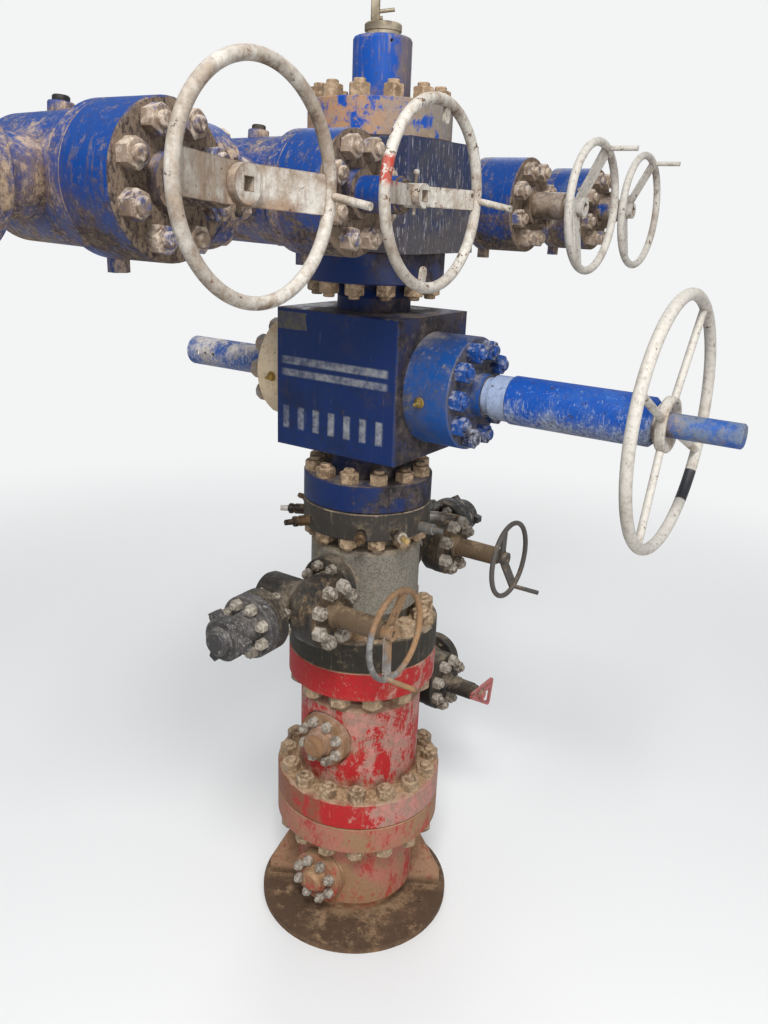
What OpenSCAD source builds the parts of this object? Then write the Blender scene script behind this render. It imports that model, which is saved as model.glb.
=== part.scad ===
// Oil wellhead valve stack: casing head, casing spool, tubing head, master gate valve, studded cross
// with two wing gate valves on each side, and a top cap. Origin: centre of the base plate's underside.
// +X is the way every handwheel faces, +Y runs along the wing valves, +Z is up. Millimetres.

/* [Stack heights] */
// Height of the casing joint above the floor
casing_joint_z = 550; // [500:5:620]
// Casing spool, between its two flange faces
casing_spool_h = 663; // [640:1:700]
// Tubing head, between its two flange faces
tubing_head_h = 605; // [590:1:640]
// Master gate valve, face to face
master_length = 889; // [860:1:920]
// Height of the cross block
cross_h = 343; // [335:1:380]

/* [Casing flange] */
// Rim of the casing flanges outside their bolt circle
casing_rim = 41.2; // [39:0.1:44]
// Thickness of the casing flanges
casing_flange_t = 112.8; // [105:0.1:120]
// Room between the spool's body and the nuts on its casing flange
casing_nut_room = 15.1; // [14:0.1:18]
// Stud diameter in the casing flanges
casing_stud_d = 41.3; // [38:0.1:44]
// Number of studs in the casing flanges
casing_stud_count = 16; // [12:4:16]

/* [Tubing head lower flange] */
// Outside diameter of the spool flange
spool_flange_d = 584; // [575:1:600]
// Thickness of the spool flange
spool_flange_t = 119; // [110:1:125]
// Bolt circle of the spool flange
spool_circle_d = 482.6; // [478:0.1:492]
// Stud diameter in the spool flange
spool_stud_d = 47.6; // [42:0.1:50]
// Number of studs in the spool flange
spool_stud_count = 12; // [8:4:12]

/* [Master flange] */
// Outside diameter of the master valve flanges
master_flange_d = 479.4; // [470:0.1:490]
// Thickness of the master valve flanges
master_flange_t = 103; // [98:1:108]
// Bolt circle of the master valve flanges
master_circle_d = 403.2; // [398:0.1:408]
// Stud diameter in the master valve flanges
master_stud_d = 38.1; // [34:0.1:40]
// Number of studs in the master valve flanges
master_stud_count = 12; // [8:4:12]

/* [Wing flange] */
// Outside diameter of the wing valve flanges
wing_flange_d = 316; // [310:1:322]
// Thickness of the wing valve flanges
wing_flange_t = 70.4; // [66:0.1:74]
// Bolt circle of the wing valve flanges
wing_circle_d = 258.8; // [256:0.1:262]
// Stud diameter in the wing valve flanges
wing_stud_d = 28.6; // [26:0.1:29]
// Number of studs in the wing valve flanges
wing_stud_count = 8; // [8:4:12]
// Bore of the wing valves
wing_bore_d = 103.2; // [98:0.1:108]
// Neck diameter between a wing valve's barrel and its flanges
wing_neck_d = 176; // [160:1:186]
// Radial room for a stud in the holes of the two free end flanges
end_stud_gap = 2; // [1.8:0.1:2.2]

/* [Outlet flange] */
// Outside diameter of the outlet flanges
outlet_flange_d = 215.9; // [210:0.1:222]
// Thickness of the outlet flanges
outlet_flange_t = 46; // [42:1:50]
// Bolt circle of the outlet flanges
outlet_circle_d = 165.1; // [162:0.1:168]
// Stud diameter in the outlet flanges
outlet_stud_d = 22.2; // [19:0.1:24]
// Number of studs in the outlet flanges
outlet_stud_count = 8; // [8:4:8]

/* [Base and heads] */
// Diameter of the base plate
base_plate_d = 800; // [780:10:960]
// Thickness of the base plate
base_plate_t = 30; // [24:1:40]
// How far a gusset stands out from the well's axis
gusset_reach = 372; // [350:1:376]
// Height of a gusset at the casing head
gusset_h = 345; // [320:5:360]
// Thickness of a gusset
gusset_t = 20; // [12:1:25]
// Diameter of the casing that the base socket slips over
casing_socket_d = 342; // [330:1:350]
// Depth of the casing socket
casing_socket_depth = 170; // [120:5:200]
// How much the casing head's body stands out past the spool's
casing_head_step = 3; // [0:0.5:5]
// Height of the lower end of the casing head's body
casing_head_low = 96; // [85:1:105]
// Outside diameter of the casing spool's body
casing_spool_d = 484; // [480:1:488]
// Outside diameter of the tubing head's body
tubing_head_d = 418; // [410:1:424]
// Height of the casing head's side outlets above the floor
head_outlet_z = 230; // [225:1:245]
// Height of the casing spool's side outlets above its lower face
spool_outlet_rise = 323; // [310:1:345]
// Height of the tubing head's side outlets above its lower face
tubing_outlet_rise = 312; // [300:1:330]
// Depth of the flat seats cut into the casing head
head_seat_depth = 5; // [3:1:8]
// Depth of the flat seats cut into the casing spool
spool_seat_depth = 27; // [20:1:30]
// Depth of the flat seats cut into the tubing head
tubing_seat_depth = 3; // [2:1:6]
// Length of a lockdown screw outside the flange
lockdown_length = 92; // [70:1:98]
// Diameter of a lockdown screw's sleeve
lockdown_d = 40; // [34:1:42]
// Height of the lockdown screws below the tubing head's upper face
lockdown_drop = 74; // [70:1:78]

/* [Master valve] */
// Size of the master block along the stem
master_block_x = 508; // [490:1:530]
// Size of the master block across the stem
master_block_y = 456; // [440:1:470]
// Height of the master block
master_block_z = 486; // [470:1:500]
// Rounding of the master block's edges
block_edge = 10; // [5:1:16]
// Neck diameter between block and flange
master_neck_d = 258; // [240:1:264]
// Outside diameter of the master bonnets
master_bonnet_d = 380; // [370:1:400]
// Thickness of the master valve's front bonnet
master_bonnet_t = 170; // [160:1:176]
// Thickness of the master valve's back bonnet
back_bonnet_t = 128; // [115:1:135]
// Diameter of the neck behind the back bonnet
back_neck_d = 150; // [140:1:156]
// Length of the neck behind the back bonnet
back_neck_length = 96; // [88:1:104]
// Length of the front bonnet's neck
front_neck_length = 53; // [48:1:60]
// Length of the ring between the front bonnet's neck and the stem housing
housing_ring_length = 91; // [80:1:96]
// Bolt circle of the master bonnets
bonnet_circle_d = 300; // [294:1:308]
// Stud diameter in a master bonnet
bonnet_stud_d = 38.1; // [34:0.1:40]
// Number of studs in a master bonnet
bonnet_stud_count = 10; // [8:2:10]
// Diameter of the long stem housing
stem_housing_d = 160; // [150:1:166]
// Distance of the master wheel's rim from the well's axis
master_wheel_x = 1086; // [1060:1:1100]
// Outside diameter of the master wheel
master_wheel_d = 798; // [780:1:820]
// Pipe diameter of the master wheel's rim
master_rim_d = 36; // [30:1:40]
// Diameter of the master wheel's collar
master_collar_d = 170; // [160:1:176]
// Thickness of the master wheel's collar
master_collar_t = 46; // [42:1:50]
// Diameter of a master wheel spoke
master_spoke_d = 24; // [18:1:28]
// How far the master wheel's two side spokes are welded out of square
side_spoke_skew = 4.8; // [0:0.1:6]
// How much the master wheel turns back from a spoke straight up
master_turn = 27.6; // [20:0.1:30]
// Length of the stem cover outside the master wheel's collar
stem_cover_length = 205; // [190:5:220]
// Diameter of the stem cover
stem_cover_d = 75; // [68:1:80]
// Diameter of the tail tube behind the master valve
tail_tube_d = 114; // [104:1:118]
// Distance of the tail tube's end from the well's axis
tail_end_x = 878; // [840:1:900]

/* [Wing valves] */
// Size of the cross block along the stems
cross_x = 520; // [500:1:530]
// Size of the cross block along the wing arms
cross_y = 440; // [430:1:460]
// Wing gate valve, face to face
wing_length = 670; // [655:1:690]
// Outside diameter of the wing valve bonnets
wing_bonnet_d = 332; // [320:1:340]
// Distance of the bonnet joint from the wing's axis
wing_joint_x = 158; // [150:1:165]
// Thickness of a wing bonnet
wing_bonnet_t = 150; // [130:1:155]
// Bolt circle of the wing bonnets
wing_bonnet_circle_d = 250; // [246:1:256]
// Stud diameter in the wing bonnets
wing_bonnet_stud_d = 34.9; // [32:0.1:36]
// Number of studs in a wing bonnet
wing_bonnet_stud_count = 8; // [8:2:8]
// Diameter of a wing valve's stem housing
wing_housing_d = 96; // [88:1:100]
// Distance of the wing wheels' rims from the wing's axis
wing_wheel_x = 552; // [545:1:570]
// How much closer the outer right wheel sits
drawn_in = 50; // [20:1:60]
// Outside diameter of the left wing wheels
left_wheel_d = 486; // [470:1:492]
// Outside diameter of the right wing wheels
right_wheel_d = 464; // [455:1:485]
// Pipe diameter of a wing wheel's rim
wing_rim_d = 29; // [25:1:32]
// Width of the left outer wheel's flat bar
wide_bar_w = 84; // [70:1:90]
// Width of the other wing wheels' flat bars
slim_bar_w = 52; // [46:1:60]
// How far the wing bores lie below the cross block's middle
wing_drop = 5; // [0:1:8]
// Thickness of the top flange under the cap
cap_flange_t = 114; // [103:1:119]
// Height of the cap above its flange
cap_h = 196; // [180:1:205]
// Diameter of the cap
cap_d = 192; // [184:1:200]

/* [Outlet valves] */
// Outlet gate valve, face to face
outlet_length = 428; // [422:1:440]
// Diameter of an outlet valve's barrel
outlet_barrel_d = 162; // [150:1:170]
// Distance of the barrel's closed back from the outlet's axis
outlet_back_x = 140; // [130:1:160]
// Distance of the bonnet joint from the outlet's axis
outlet_joint_x = 108; // [100:1:115]
// Outside diameter of an outlet valve's bonnet
outlet_bonnet_d = 252; // [248:1:262]
// Thickness of an outlet valve's bonnet
outlet_bonnet_t = 50; // [44:1:56]
// Bolt circle of an outlet valve's bonnet
outlet_bonnet_circle_d = 196; // [192:1:200]
// Stud diameter in an outlet valve's bonnet
outlet_bonnet_stud_d = 28.6; // [24:0.1:29]
// Diameter of an outlet valve's stem tube
outlet_tube_d = 74; // [66:1:80]
// Distance of the tubing outlet wheels' rims from the outlet's axis
outlet_wheel_x = 415; // [395:1:425]
// Outside diameter of the tubing outlet wheels
outlet_wheel_d = 322; // [300:1:335]
// Pipe diameter of the tubing outlet wheels' rims
outlet_rim_d = 20; // [16:1:22]
// Width of the tubing outlet wheels' flat bars
outlet_bar_w = 45; // [36:1:50]
// Distance of the casing outlet's handle from the outlet's axis
spool_handle_x = 330; // [320:1:345]
// Width of the strip that the casing outlet's handle is bent from
handle_strip_w = 17; // [14:1:22]

/* [Handles and clearances] */
// Diameter of a handle peg
peg_d = 18; // [14:1:20]
// Length of a handle peg
peg_length = 112; // [90:1:120]
// Height of the raised face on every flange
face_step = 2.5; // [2:0.5:4]
// Radial clearance of a stem in its gland
stem_gap = 0.3; // [0.2:0.1:0.5]
// Gap between pieces that seat on a curved or welded face
seat_gap = 0.3; // [0.1:0.1:0.5]
// Stud length that shows past its nut
stud_stick = 12; // [6:1:18]
// Width across flats of a nut, for each millimetre of stud
nut_ratio = 1.6; // [1.5:0.01:1.65]
// Radial clearance of a stud in its hole
stud_gap = 1.6; // [1.2:0.1:2]
// How far a stud goes into a tapped hole, for each millimetre of stud
tapped_ratio = 0.85; // [0.75:0.01:0.87]

/* [Hidden] */
$fn = 72;

// Fields of a flange size
D = 0;
T = 1;
CIRCLE = 2;
STUD = 3;
COUNT = 4;
FACE = 5;
casing_circle_d = casing_spool_d + casing_stud_d * nut_ratio / cos(30) + 2 * casing_nut_room;
casing_flange_d = casing_circle_d + 2 * casing_rim;
casing_head_d = casing_spool_d + 2 * casing_head_step;
casing_size = [casing_flange_d, casing_flange_t, casing_circle_d, casing_stud_d, casing_stud_count, 457];
spool_size = [spool_flange_d, spool_flange_t, spool_circle_d, spool_stud_d, spool_stud_count, 368];
master_size = [master_flange_d, master_flange_t, master_circle_d, master_stud_d, master_stud_count, 302];
wing_size = [wing_flange_d, wing_flange_t, wing_circle_d, wing_stud_d, wing_stud_count, 184];
outlet_size = [outlet_flange_d, outlet_flange_t, outlet_circle_d, outlet_stud_d, outlet_stud_count, 124];
outlet_bonnet_size = [outlet_bonnet_d, outlet_bonnet_t, outlet_bonnet_circle_d, outlet_bonnet_stud_d,
    outlet_stud_count, outlet_bonnet_d - 12];
cap_size = [master_flange_d, cap_flange_t, master_circle_d, master_stud_d, master_stud_count, 302];

// Joint faces up the stack
casing_z = casing_joint_z;
tubing_z = casing_z + casing_spool_h;
master_z = tubing_z + tubing_head_h;
cross_z = master_z + master_length;
cap_z = cross_z + cross_h;
wing_z = cross_z + cross_h / 2 - wing_drop;
stem_z = master_z + master_length / 2;
spool_outlet_z = casing_z + spool_outlet_rise;
tubing_outlet_z = tubing_z + tubing_outlet_rise;

// Wing valve centres
inner_y = cross_y / 2 + wing_length / 2;
outer_y = inner_y + wing_length;
// Seat faces where the outlets bolt on
head_pad_y = casing_head_d / 2 - head_seat_depth;
spool_pad_y = casing_spool_d / 2 - spool_seat_depth;
tubing_pad_y = tubing_head_d / 2 - tubing_seat_depth;
spool_valve_y = spool_pad_y + outlet_length / 2;
tubing_valve_y = tubing_pad_y + outlet_length / 2;

blue = "#1f47b0";
navy = "#1c3170";
red = "#b3241f";
grey = "#77756c";
dark = "#3b3a35";
white = "#d8d2c4";
rust = "#8a5a3a";
tan = "#a8906c";

// Turning a piece that is drawn along Z so that it runs along X or Y
module along_x() {
    rotate([0, 90, 0]) children();
}

module along_y() {
    rotate([-90, 0, 0]) children();
}

// A hexagon nut with its top corners turned off
module nut(stud) {
    af = stud * nut_ratio;
    h = stud;
    intersection() {
        cylinder(d = af / cos(30), h = h, $fn = 6);
        rotate_extrude()
            polygon([[0, 0], [af * 0.6, 0], [af * 0.6, h - af * 0.075], [af * 0.47, h], [0, h]]);
    }
}

// One stud from low to high along Z, with a nut that starts at each height in seats
module stud(size, low, high, seats) {
    chamfer = 2;
    r = size[STUD] / 2;
    union() {
        rotate_extrude()
            polygon([[0, low], [r - chamfer, low], [r, low + chamfer], [r, high - chamfer],
                [r - chamfer, high], [0, high]]);
        for (seat = seats) {
            if (seat > 0)
                translate([0, 0, seat]) nut(size[STUD]);
            else
                translate([0, 0, seat]) mirror([0, 0, 1]) nut(size[STUD]);
        }
    }
}

// A ring of studs through two like flanges whose joint is at z = 0
module through_studs(size) {
    reach = size[T] + size[STUD] + stud_stick;
    for (i = [0:size[COUNT] - 1])
        rotate([0, 0, (i + 0.5) * 360 / size[COUNT]])
            translate([size[CIRCLE] / 2, 0, 0])
                rotate([0, 0, i * 17])
                    stud(size, -reach, reach, [size[T], -size[T]]);
}

// A ring of studs that screw into a block below z = 0 and carry one nut above the flange
module block_studs(size, flange_t, depth) {
    reach = flange_t + size[STUD] + stud_stick;
    for (i = [0:size[COUNT] - 1])
        rotate([0, 0, (i + 0.5) * 360 / size[COUNT]])
            translate([size[CIRCLE] / 2, 0, 0])
                rotate([0, 0, i * 23])
                    stud(size, -depth, reach, [flange_t]);
}

// Holes for a ring of studs, from z = low to z = high
module stud_holes(size, low, high, hole_d) {
    for (i = [0:size[COUNT] - 1])
        rotate([0, 0, (i + 0.5) * 360 / size[COUNT]])
            translate([size[CIRCLE] / 2, 0, low])
                cylinder(d = hole_d, h = high - low, $fn = 32);
}

function hole_of(size, gap = stud_gap) = size[STUD] + 2 * gap;

// How far a stud goes into a block or pad
function tapped_depth(size) = size[STUD] * tapped_ratio;

// Outline of a flange of revolution with its joint face at z = 0, body side at z = T
function flange_points(size) = [[0, 0], [size[FACE] / 2, 0], [size[FACE] / 2, face_step],
    [size[D] / 2 - 3, face_step], [size[D] / 2, face_step + 3], [size[D] / 2, size[T] - 4],
    [size[D] / 2 - 4, size[T]]];

// A drilled flange whose neck, of diameter neck_d, runs on up to z = height
module necked_flange(size, neck_d, hub_d, height, gap = stud_gap) {
    hub_h = min((hub_d - neck_d) * 0.9 + 12, height - size[T] - 1);
    difference() {
        rotate_extrude()
            polygon(concat(flange_points(size), [[hub_d / 2, size[T]], [hub_d / 2, size[T] + 4],
                [neck_d / 2, size[T] + hub_h], [neck_d / 2, height], [0, height]]));
        stud_holes(size, -1, size[T] + 1, hole_of(size, gap));
    }
}

// A square with round corners of radius r
module rounded_square(x, y, r) {
    union() {
        square([x - 2 * r, y], center = true);
        square([x, y - 2 * r], center = true);
        for (sx = [-1, 1])
            for (sy = [-1, 1])
                translate([sx * (x / 2 - r), sy * (y / 2 - r)]) circle(r = r, $fn = 32);
    }
}

// A forged block, rounded along its upright edges and its long top and bottom edges
module forged_block(x, y, z, r) {
    intersection() {
        translate([0, 0, -z / 2]) linear_extrude(z) rounded_square(x, y, r);
        rotate([90, 0, 90]) translate([0, 0, -x / 2]) linear_extrude(x) rounded_square(y, z, r * 0.6);
    }
}

// Base

// Gussets stand where neither the outlets nor their studs are in the way
gusset_angles = [30, 150, 210];

module base_plate() {
    color(rust) union() {
        difference() {
            cylinder(d = base_plate_d, h = base_plate_t);
            translate([0, 0, -1]) cylinder(d = casing_socket_d, h = base_plate_t + 2);
        }
        for (angle = gusset_angles)
            rotate([0, 0, angle])
                difference() {
                    translate([0, gusset_t / 2, 0]) rotate([90, 0, 0])
                        linear_extrude(gusset_t)
                            polygon([[skirt_r - 5, base_plate_t - 1], [gusset_reach + 4, base_plate_t - 1],
                                [gusset_reach, 104], [casing_head_d / 2, gusset_h], [skirt_r - 5, gusset_h]]);
                    casing_head_solid(seat_gap);
                }
    }
}

skirt_r = casing_socket_d / 2 + 24;

// The casing head's turned body, grown by grow to cut its seats in other pieces
module casing_head_solid(grow) {
    r = casing_head_d / 2 + grow;
    low = casing_head_low - grow;
    top = casing_z - casing_flange_t + 2;
    rotate_extrude()
        polygon([[0, base_plate_t], [skirt_r + grow, base_plate_t], [skirt_r + grow, low], [r - 12, low],
            [r, low + 12], [r, top], [0, top]]);
}

module casing_head() {
    color(red) difference() {
        union() {
            casing_head_solid(0);
            translate([0, 0, casing_z]) mirror([0, 0, 1])
                necked_flange(casing_size, casing_head_d, casing_head_d + 1, casing_flange_t + 20);
            outlet_bosses(casing_head_d, head_outlet_z, head_pad_y);
        }
        translate([0, 0, -1]) cylinder(d = casing_socket_d, h = casing_socket_depth + base_plate_t + 1);
        outlet_seats(head_outlet_z, head_pad_y);
    }
}

// Round bosses on both sides of a body, a little longer than the seats that trim them
module outlet_bosses(body_d, z, pad_y) {
    start = body_d * 0.3;
    for (side = [-1, 1])
        translate([0, 0, z]) rotate([side * -90, 0, 0])
            translate([0, 0, start]) cylinder(d = outlet_flange_d - 4, h = pad_y + 4 - start);
}

// Flat round seats at y = +-pad_y with their tapped holes
module outlet_seats(z, pad_y) {
    depth = tapped_depth(outlet_size) + 4;
    for (side = [-1, 1])
        translate([0, 0, z]) rotate([side * -90, 0, 0]) translate([0, 0, pad_y]) {
            cylinder(d = outlet_flange_d + 12, h = 60);
            stud_holes(outlet_size, -depth, 1, outlet_stud_d + 0.4);
        }
}

// A companion flange with a round bull plug, joint face at z = 0
module plug_flange(plug_length) {
    plug_r = 48;
    end = outlet_flange_t + plug_length;
    difference() {
        rotate_extrude()
            polygon(concat(flange_points(outlet_size), [[62, outlet_flange_t],
                [58, outlet_flange_t + 12], [plug_r, outlet_flange_t + 16], [plug_r, end - 14],
                [plug_r - 14, end], [0, end]]));
        stud_holes(outlet_size, -1, outlet_flange_t + 1, hole_of(outlet_size));
    }
}

// A companion flange with a neck, a lugged union nut and its cap, joint face at z = 0
module union_flange() {
    neck_r = 55;
    nut_low = outlet_flange_t + 72;
    nut_high = nut_low + 46;
    nut_r = 72;
    difference() {
        rotate_extrude()
            polygon(concat(flange_points(outlet_size), [[62, outlet_flange_t], [neck_r, outlet_flange_t + 14],
                [neck_r, nut_low - 8], [nut_r - 4, nut_low], [nut_r, nut_low + 6], [nut_r, nut_high - 5],
                [nut_r - 6, nut_high], [46, nut_high], [44, nut_high + 22], [36, nut_high + 30],
                [0, nut_high + 30]]));
        stud_holes(outlet_size, -1, outlet_flange_t + 1, hole_of(outlet_size));
    }
    for (i = [0:2])
        rotate([0, 0, i * 120]) translate([0, 0, nut_low + 5]) linear_extrude(nut_high - nut_low - 10)
            polygon([[nut_r - 8, -20], [nut_r + 22, -13], [nut_r + 22, 13], [nut_r - 8, 20]]);
}

module casing_head_flanges() {
    color(red)
        for (side = [-1, 1])
            translate([0, side * head_pad_y, head_outlet_z]) rotate([side * -90, 0, 0]) plug_flange(40);
}

module casing_joint_studs() {
    color(tan) translate([0, 0, casing_z]) through_studs(casing_size);
}

// Casing spool

module casing_spool() {
    mid_z = casing_z + casing_spool_h / 2;
    body_low = casing_z + casing_flange_t - 1;
    body_high = tubing_z - spool_flange_t + 1;
    color(red) difference() {
        union() {
            translate([0, 0, casing_z])
                necked_flange(casing_size, casing_spool_d, casing_spool_d + 8, casing_flange_t + 20);
            translate([0, 0, tubing_z]) mirror([0, 0, 1])
                spool_top_flange();
            translate([0, 0, body_low]) cylinder(d = casing_spool_d, h = mid_z - body_low);
            translate([0, 0, mid_z - 1]) cylinder(d = spool_size[FACE], h = body_high - mid_z + 1);
            rotate_extrude()
                polygon([[0, mid_z - 1], [casing_spool_d / 2, mid_z - 1],
                    [casing_spool_d / 2, body_high - 82], [spool_size[FACE] / 2 + 20, body_high - 64],
                    [0, body_high - 64]]);
            outlet_bosses(casing_spool_d, spool_outlet_z, spool_pad_y);
        }
        outlet_seats(spool_outlet_z, spool_pad_y);
    }
}

// Drilled disc flange, joint face at z = 0
module spool_top_flange() {
    difference() {
        rotate_extrude()
            polygon(concat(flange_points(spool_size), [[0, spool_flange_t]]));
        stud_holes(spool_size, -1, spool_flange_t + 1, hole_of(spool_size));
    }
}

module spool_front_flange() {
    color(red) translate([0, -spool_pad_y, spool_outlet_z]) rotate([90, 0, 0]) plug_flange(66);
}

module spool_joint_studs() {
    color(tan) translate([0, 0, tubing_z]) through_studs(spool_size);
}

// Small gate valves on the side outlets, drawn with the bore along Y and the stem towards +X

module outlet_valve_body() {
    r = outlet_barrel_d / 2;
    flange_r = outlet_bonnet_d / 2 - 3;
    union() {
        for (side = [-1, 1])
            translate([0, side * outlet_length / 2, 0]) rotate([side * 90, 0, 0])
                necked_flange(outlet_size, 104, 118, outlet_length / 2);
        difference() {
            along_x() rotate_extrude()
                polygon([[0, -outlet_back_x], [r - 22, -outlet_back_x], [r - 7, -outlet_back_x + 7],
                    [r, -outlet_back_x + 22], [r, 4], [r + 10, 34], [flange_r, outlet_joint_x - 34],
                    [flange_r, outlet_joint_x], [0, outlet_joint_x]]);
            translate([outlet_joint_x, 0, 0]) along_x()
                stud_holes(outlet_bonnet_size, -tapped_depth(outlet_bonnet_size) - 4, 1,
                    outlet_bonnet_stud_d + 0.4);
        }
    }
}

// Bonnet, gland and stem tube up to the wheel's hub at hub_x
module outlet_valve_bonnet(hub_x) {
    flange_r = outlet_bonnet_d / 2;
    tube_r = outlet_tube_d / 2;
    front = outlet_joint_x + outlet_bonnet_t;
    end = hub_x - 2 * seat_gap;
    difference() {
        along_x() rotate_extrude()
            polygon([[0, outlet_joint_x], [flange_r - 2, outlet_joint_x], [flange_r, outlet_joint_x + 2],
                [flange_r, front - 5], [flange_r - 5, front], [tube_r + 13, front], [tube_r + 8, front + 16],
                [tube_r + 1, front + 26], [tube_r + 1, front + 40], [tube_r - 3, front + 42],
                [tube_r - 3, front + 47], [tube_r + 1, front + 49], [tube_r, end - 22],
                [tube_r - 4, end - 20], [tube_r - 4, end - 6], [tube_r - 9, end], [0, end]]);
        translate([outlet_joint_x, 0, 0]) along_x()
            stud_holes(outlet_bonnet_size, -1, outlet_bonnet_t + 1, hole_of(outlet_bonnet_size));
        translate([end - 40, 0, 0]) along_x() cylinder(d = 28 + 2 * stem_gap, h = 41);
    }
}

// Handwheel with a flat diametral bar, drawn round the X axis with its rim at x = rim_x and its bar
// turned by turn from upright; peg_side gives the end of the bar that carries the peg, and peg_lean how
// far that leans along the rim
module bar_wheel(wheel_d, rim_d, rim_x, dish, bar_w, bar_t, hub_d, hub_h, stem_d, stem_in, turn,
    peg_side, peg_lean) {
    ring_r = (wheel_d - rim_d) / 2;
    hub_z = -dish - hub_h / 2;
    translate([rim_x, 0, 0]) rotate([turn, 0, 0]) rotate([0, 90, 0]) difference() {
        union() {
            rotate_extrude($fn = 96) translate([ring_r, 0]) circle(d = rim_d, $fn = 24);
            translate([0, bar_w / 2, 0]) rotate([90, 0, 0]) linear_extrude(bar_w)
                polygon([[-ring_r, -bar_t / 2], [-hub_d / 2 + 2, -dish - bar_t / 2],
                    [hub_d / 2 - 2, -dish - bar_t / 2], [ring_r, -bar_t / 2], [ring_r, bar_t / 2],
                    [hub_d / 2 - 2, -dish + bar_t / 2], [-hub_d / 2 + 2, -dish + bar_t / 2],
                    [-ring_r, bar_t / 2]]);
            translate([0, 0, hub_z]) cylinder(d = hub_d, h = hub_h);
            translate([0, 0, hub_z - stem_in]) cylinder(d = stem_d, h = stem_in + 5);
            translate([peg_side * ring_r, 0, 0]) rotate([-peg_lean, 0, 0])
                cylinder(d = peg_d, h = peg_length);
        }
        translate([0, 0, hub_z + hub_h - 22]) linear_extrude(23) square(stem_d * 0.7, center = true);
    }
}

// Where a wheel's hub ends towards its valve
function hub_back(rim_x, dish, hub_h) = rim_x - dish - hub_h / 2;

outlet_dish = 26;
outlet_hub_h = 40;
outlet_hub_x = hub_back(outlet_wheel_x, outlet_dish, outlet_hub_h);
handle_hub_h = 26;
handle_hub_x = hub_back(spool_handle_x, 0, handle_hub_h);

module outlet_wheel(turn) {
    bar_wheel(outlet_wheel_d, outlet_rim_d, outlet_wheel_x, outlet_dish, outlet_bar_w, 8, 52,
        outlet_hub_h, 28, 36, turn, 1, 0);
}

module spool_valve_body() {
    color(dark) translate([0, spool_valve_y, spool_outlet_z]) outlet_valve_body();
}

module spool_valve_bonnet() {
    color(dark) translate([0, spool_valve_y, spool_outlet_z]) outlet_valve_bonnet(handle_hub_x);
}

// The casing outlet's handle is a strip bent to a triangle round its hub, corners as [y, z]
handle_corners = [[-125, 40], [122, 30], [98, -104]];

module handle_outline(inset) {
    offset(r = 16 - inset, $fn = 32) offset(delta = -16) polygon(handle_corners);
}

module spool_valve_wheel() {
    strap_w = 24;
    stem_d = 28;
    color(red) translate([spool_handle_x, spool_valve_y, spool_outlet_z]) union() {
        rotate([90, 0, 90]) translate([0, 0, -5]) linear_extrude(10) union() {
            difference() {
                handle_outline(0);
                handle_outline(handle_strip_w);
            }
            intersection() {
                handle_outline(2);
                union() {
                    translate([-125, -strap_w / 2]) square([235, strap_w]);
                    circle(d = 46);
                }
            }
        }
        translate([-handle_hub_h / 2, 0, 0]) along_x() cylinder(d = 42, h = handle_hub_h);
        translate([-handle_hub_h / 2 - 36, 0, 0]) along_x() cylinder(d = stem_d, h = 40);
        along_x() nut(stem_d * 0.8);
    }
}

// Tubing head

module tubing_head() {
    body_low = tubing_z + spool_flange_t - 1;
    body_high = master_z - master_flange_t + 1;
    r = tubing_head_d / 2;
    screw_z = master_z - lockdown_drop;
    color(grey) difference() {
        union() {
            translate([0, 0, tubing_z]) spool_top_flange();
            translate([0, 0, master_z]) mirror([0, 0, 1]) difference() {
                rotate_extrude() polygon(concat(flange_points(master_size), [[0, master_flange_t]]));
                stud_holes(master_size, -1, master_flange_t + 1, hole_of(master_size));
            }
            rotate_extrude()
                polygon([[0, body_low], [r - 34, body_low], [r - 34, body_low + 64],
                    [r, body_low + 80], [r, body_high - 72], [r - 12, body_high - 56],
                    [master_size[FACE] / 2, body_high - 54], [master_size[FACE] / 2, body_high],
                    [0, body_high]]);
            outlet_bosses(tubing_head_d, tubing_outlet_z, tubing_pad_y);
        }
        outlet_seats(tubing_outlet_z, tubing_pad_y);
        translate([0, 0, screw_z])
            for (i = lockdown_places)
                rotate([0, 0, lockdown_angle(i)]) translate([master_flange_d / 2 - 40, 0, 0])
                    along_x() cylinder(d = lockdown_d - 3.6, h = 60, $fn = 32);
    }
}

// Lockdown screws sit midway between the flange's studs, with none above the two side outlets
lockdown_places = [for (i = [0:master_stud_count - 1]) if (abs(cos(i * 360 / master_stud_count)) > 0.1) i];

function lockdown_angle(i) = i * 360 / master_stud_count;

module lockdown_screws() {
    face_x = master_flange_d / 2;
    screw_z = master_z - lockdown_drop;
    r = lockdown_d / 2;
    color(tan) translate([0, 0, screw_z])
        for (i = lockdown_places)
            rotate([0, 0, lockdown_angle(i)]) translate([face_x, 0, 0]) along_x() union() {
                translate([0, 0, -36]) cylinder(d = lockdown_d - 4, h = 37);
                translate([0, 0, 1]) rotate_extrude()
                    polygon([[0, 0], [r, 0], [r, lockdown_length * 0.36], [r - 3, lockdown_length * 0.38],
                        [r - 3, lockdown_length * 0.44], [r, lockdown_length * 0.46],
                        [r, lockdown_length * 0.6], [r - 4, lockdown_length * 0.64],
                        [0, lockdown_length * 0.64]]);
                cylinder(d = lockdown_d * 0.55, h = lockdown_length - 16);
                cylinder(d = lockdown_d * 0.4 / cos(45), h = lockdown_length, $fn = 4);
            }
}

module front_valve_body() {
    color(dark) translate([0, -tubing_valve_y, tubing_outlet_z]) outlet_valve_body();
}

module front_valve_bonnet() {
    color(dark) translate([0, -tubing_valve_y, tubing_outlet_z]) outlet_valve_bonnet(outlet_hub_x);
}

module front_valve_wheel() {
    color(tan) translate([0, -tubing_valve_y, tubing_outlet_z]) outlet_wheel(-17);
}

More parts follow.
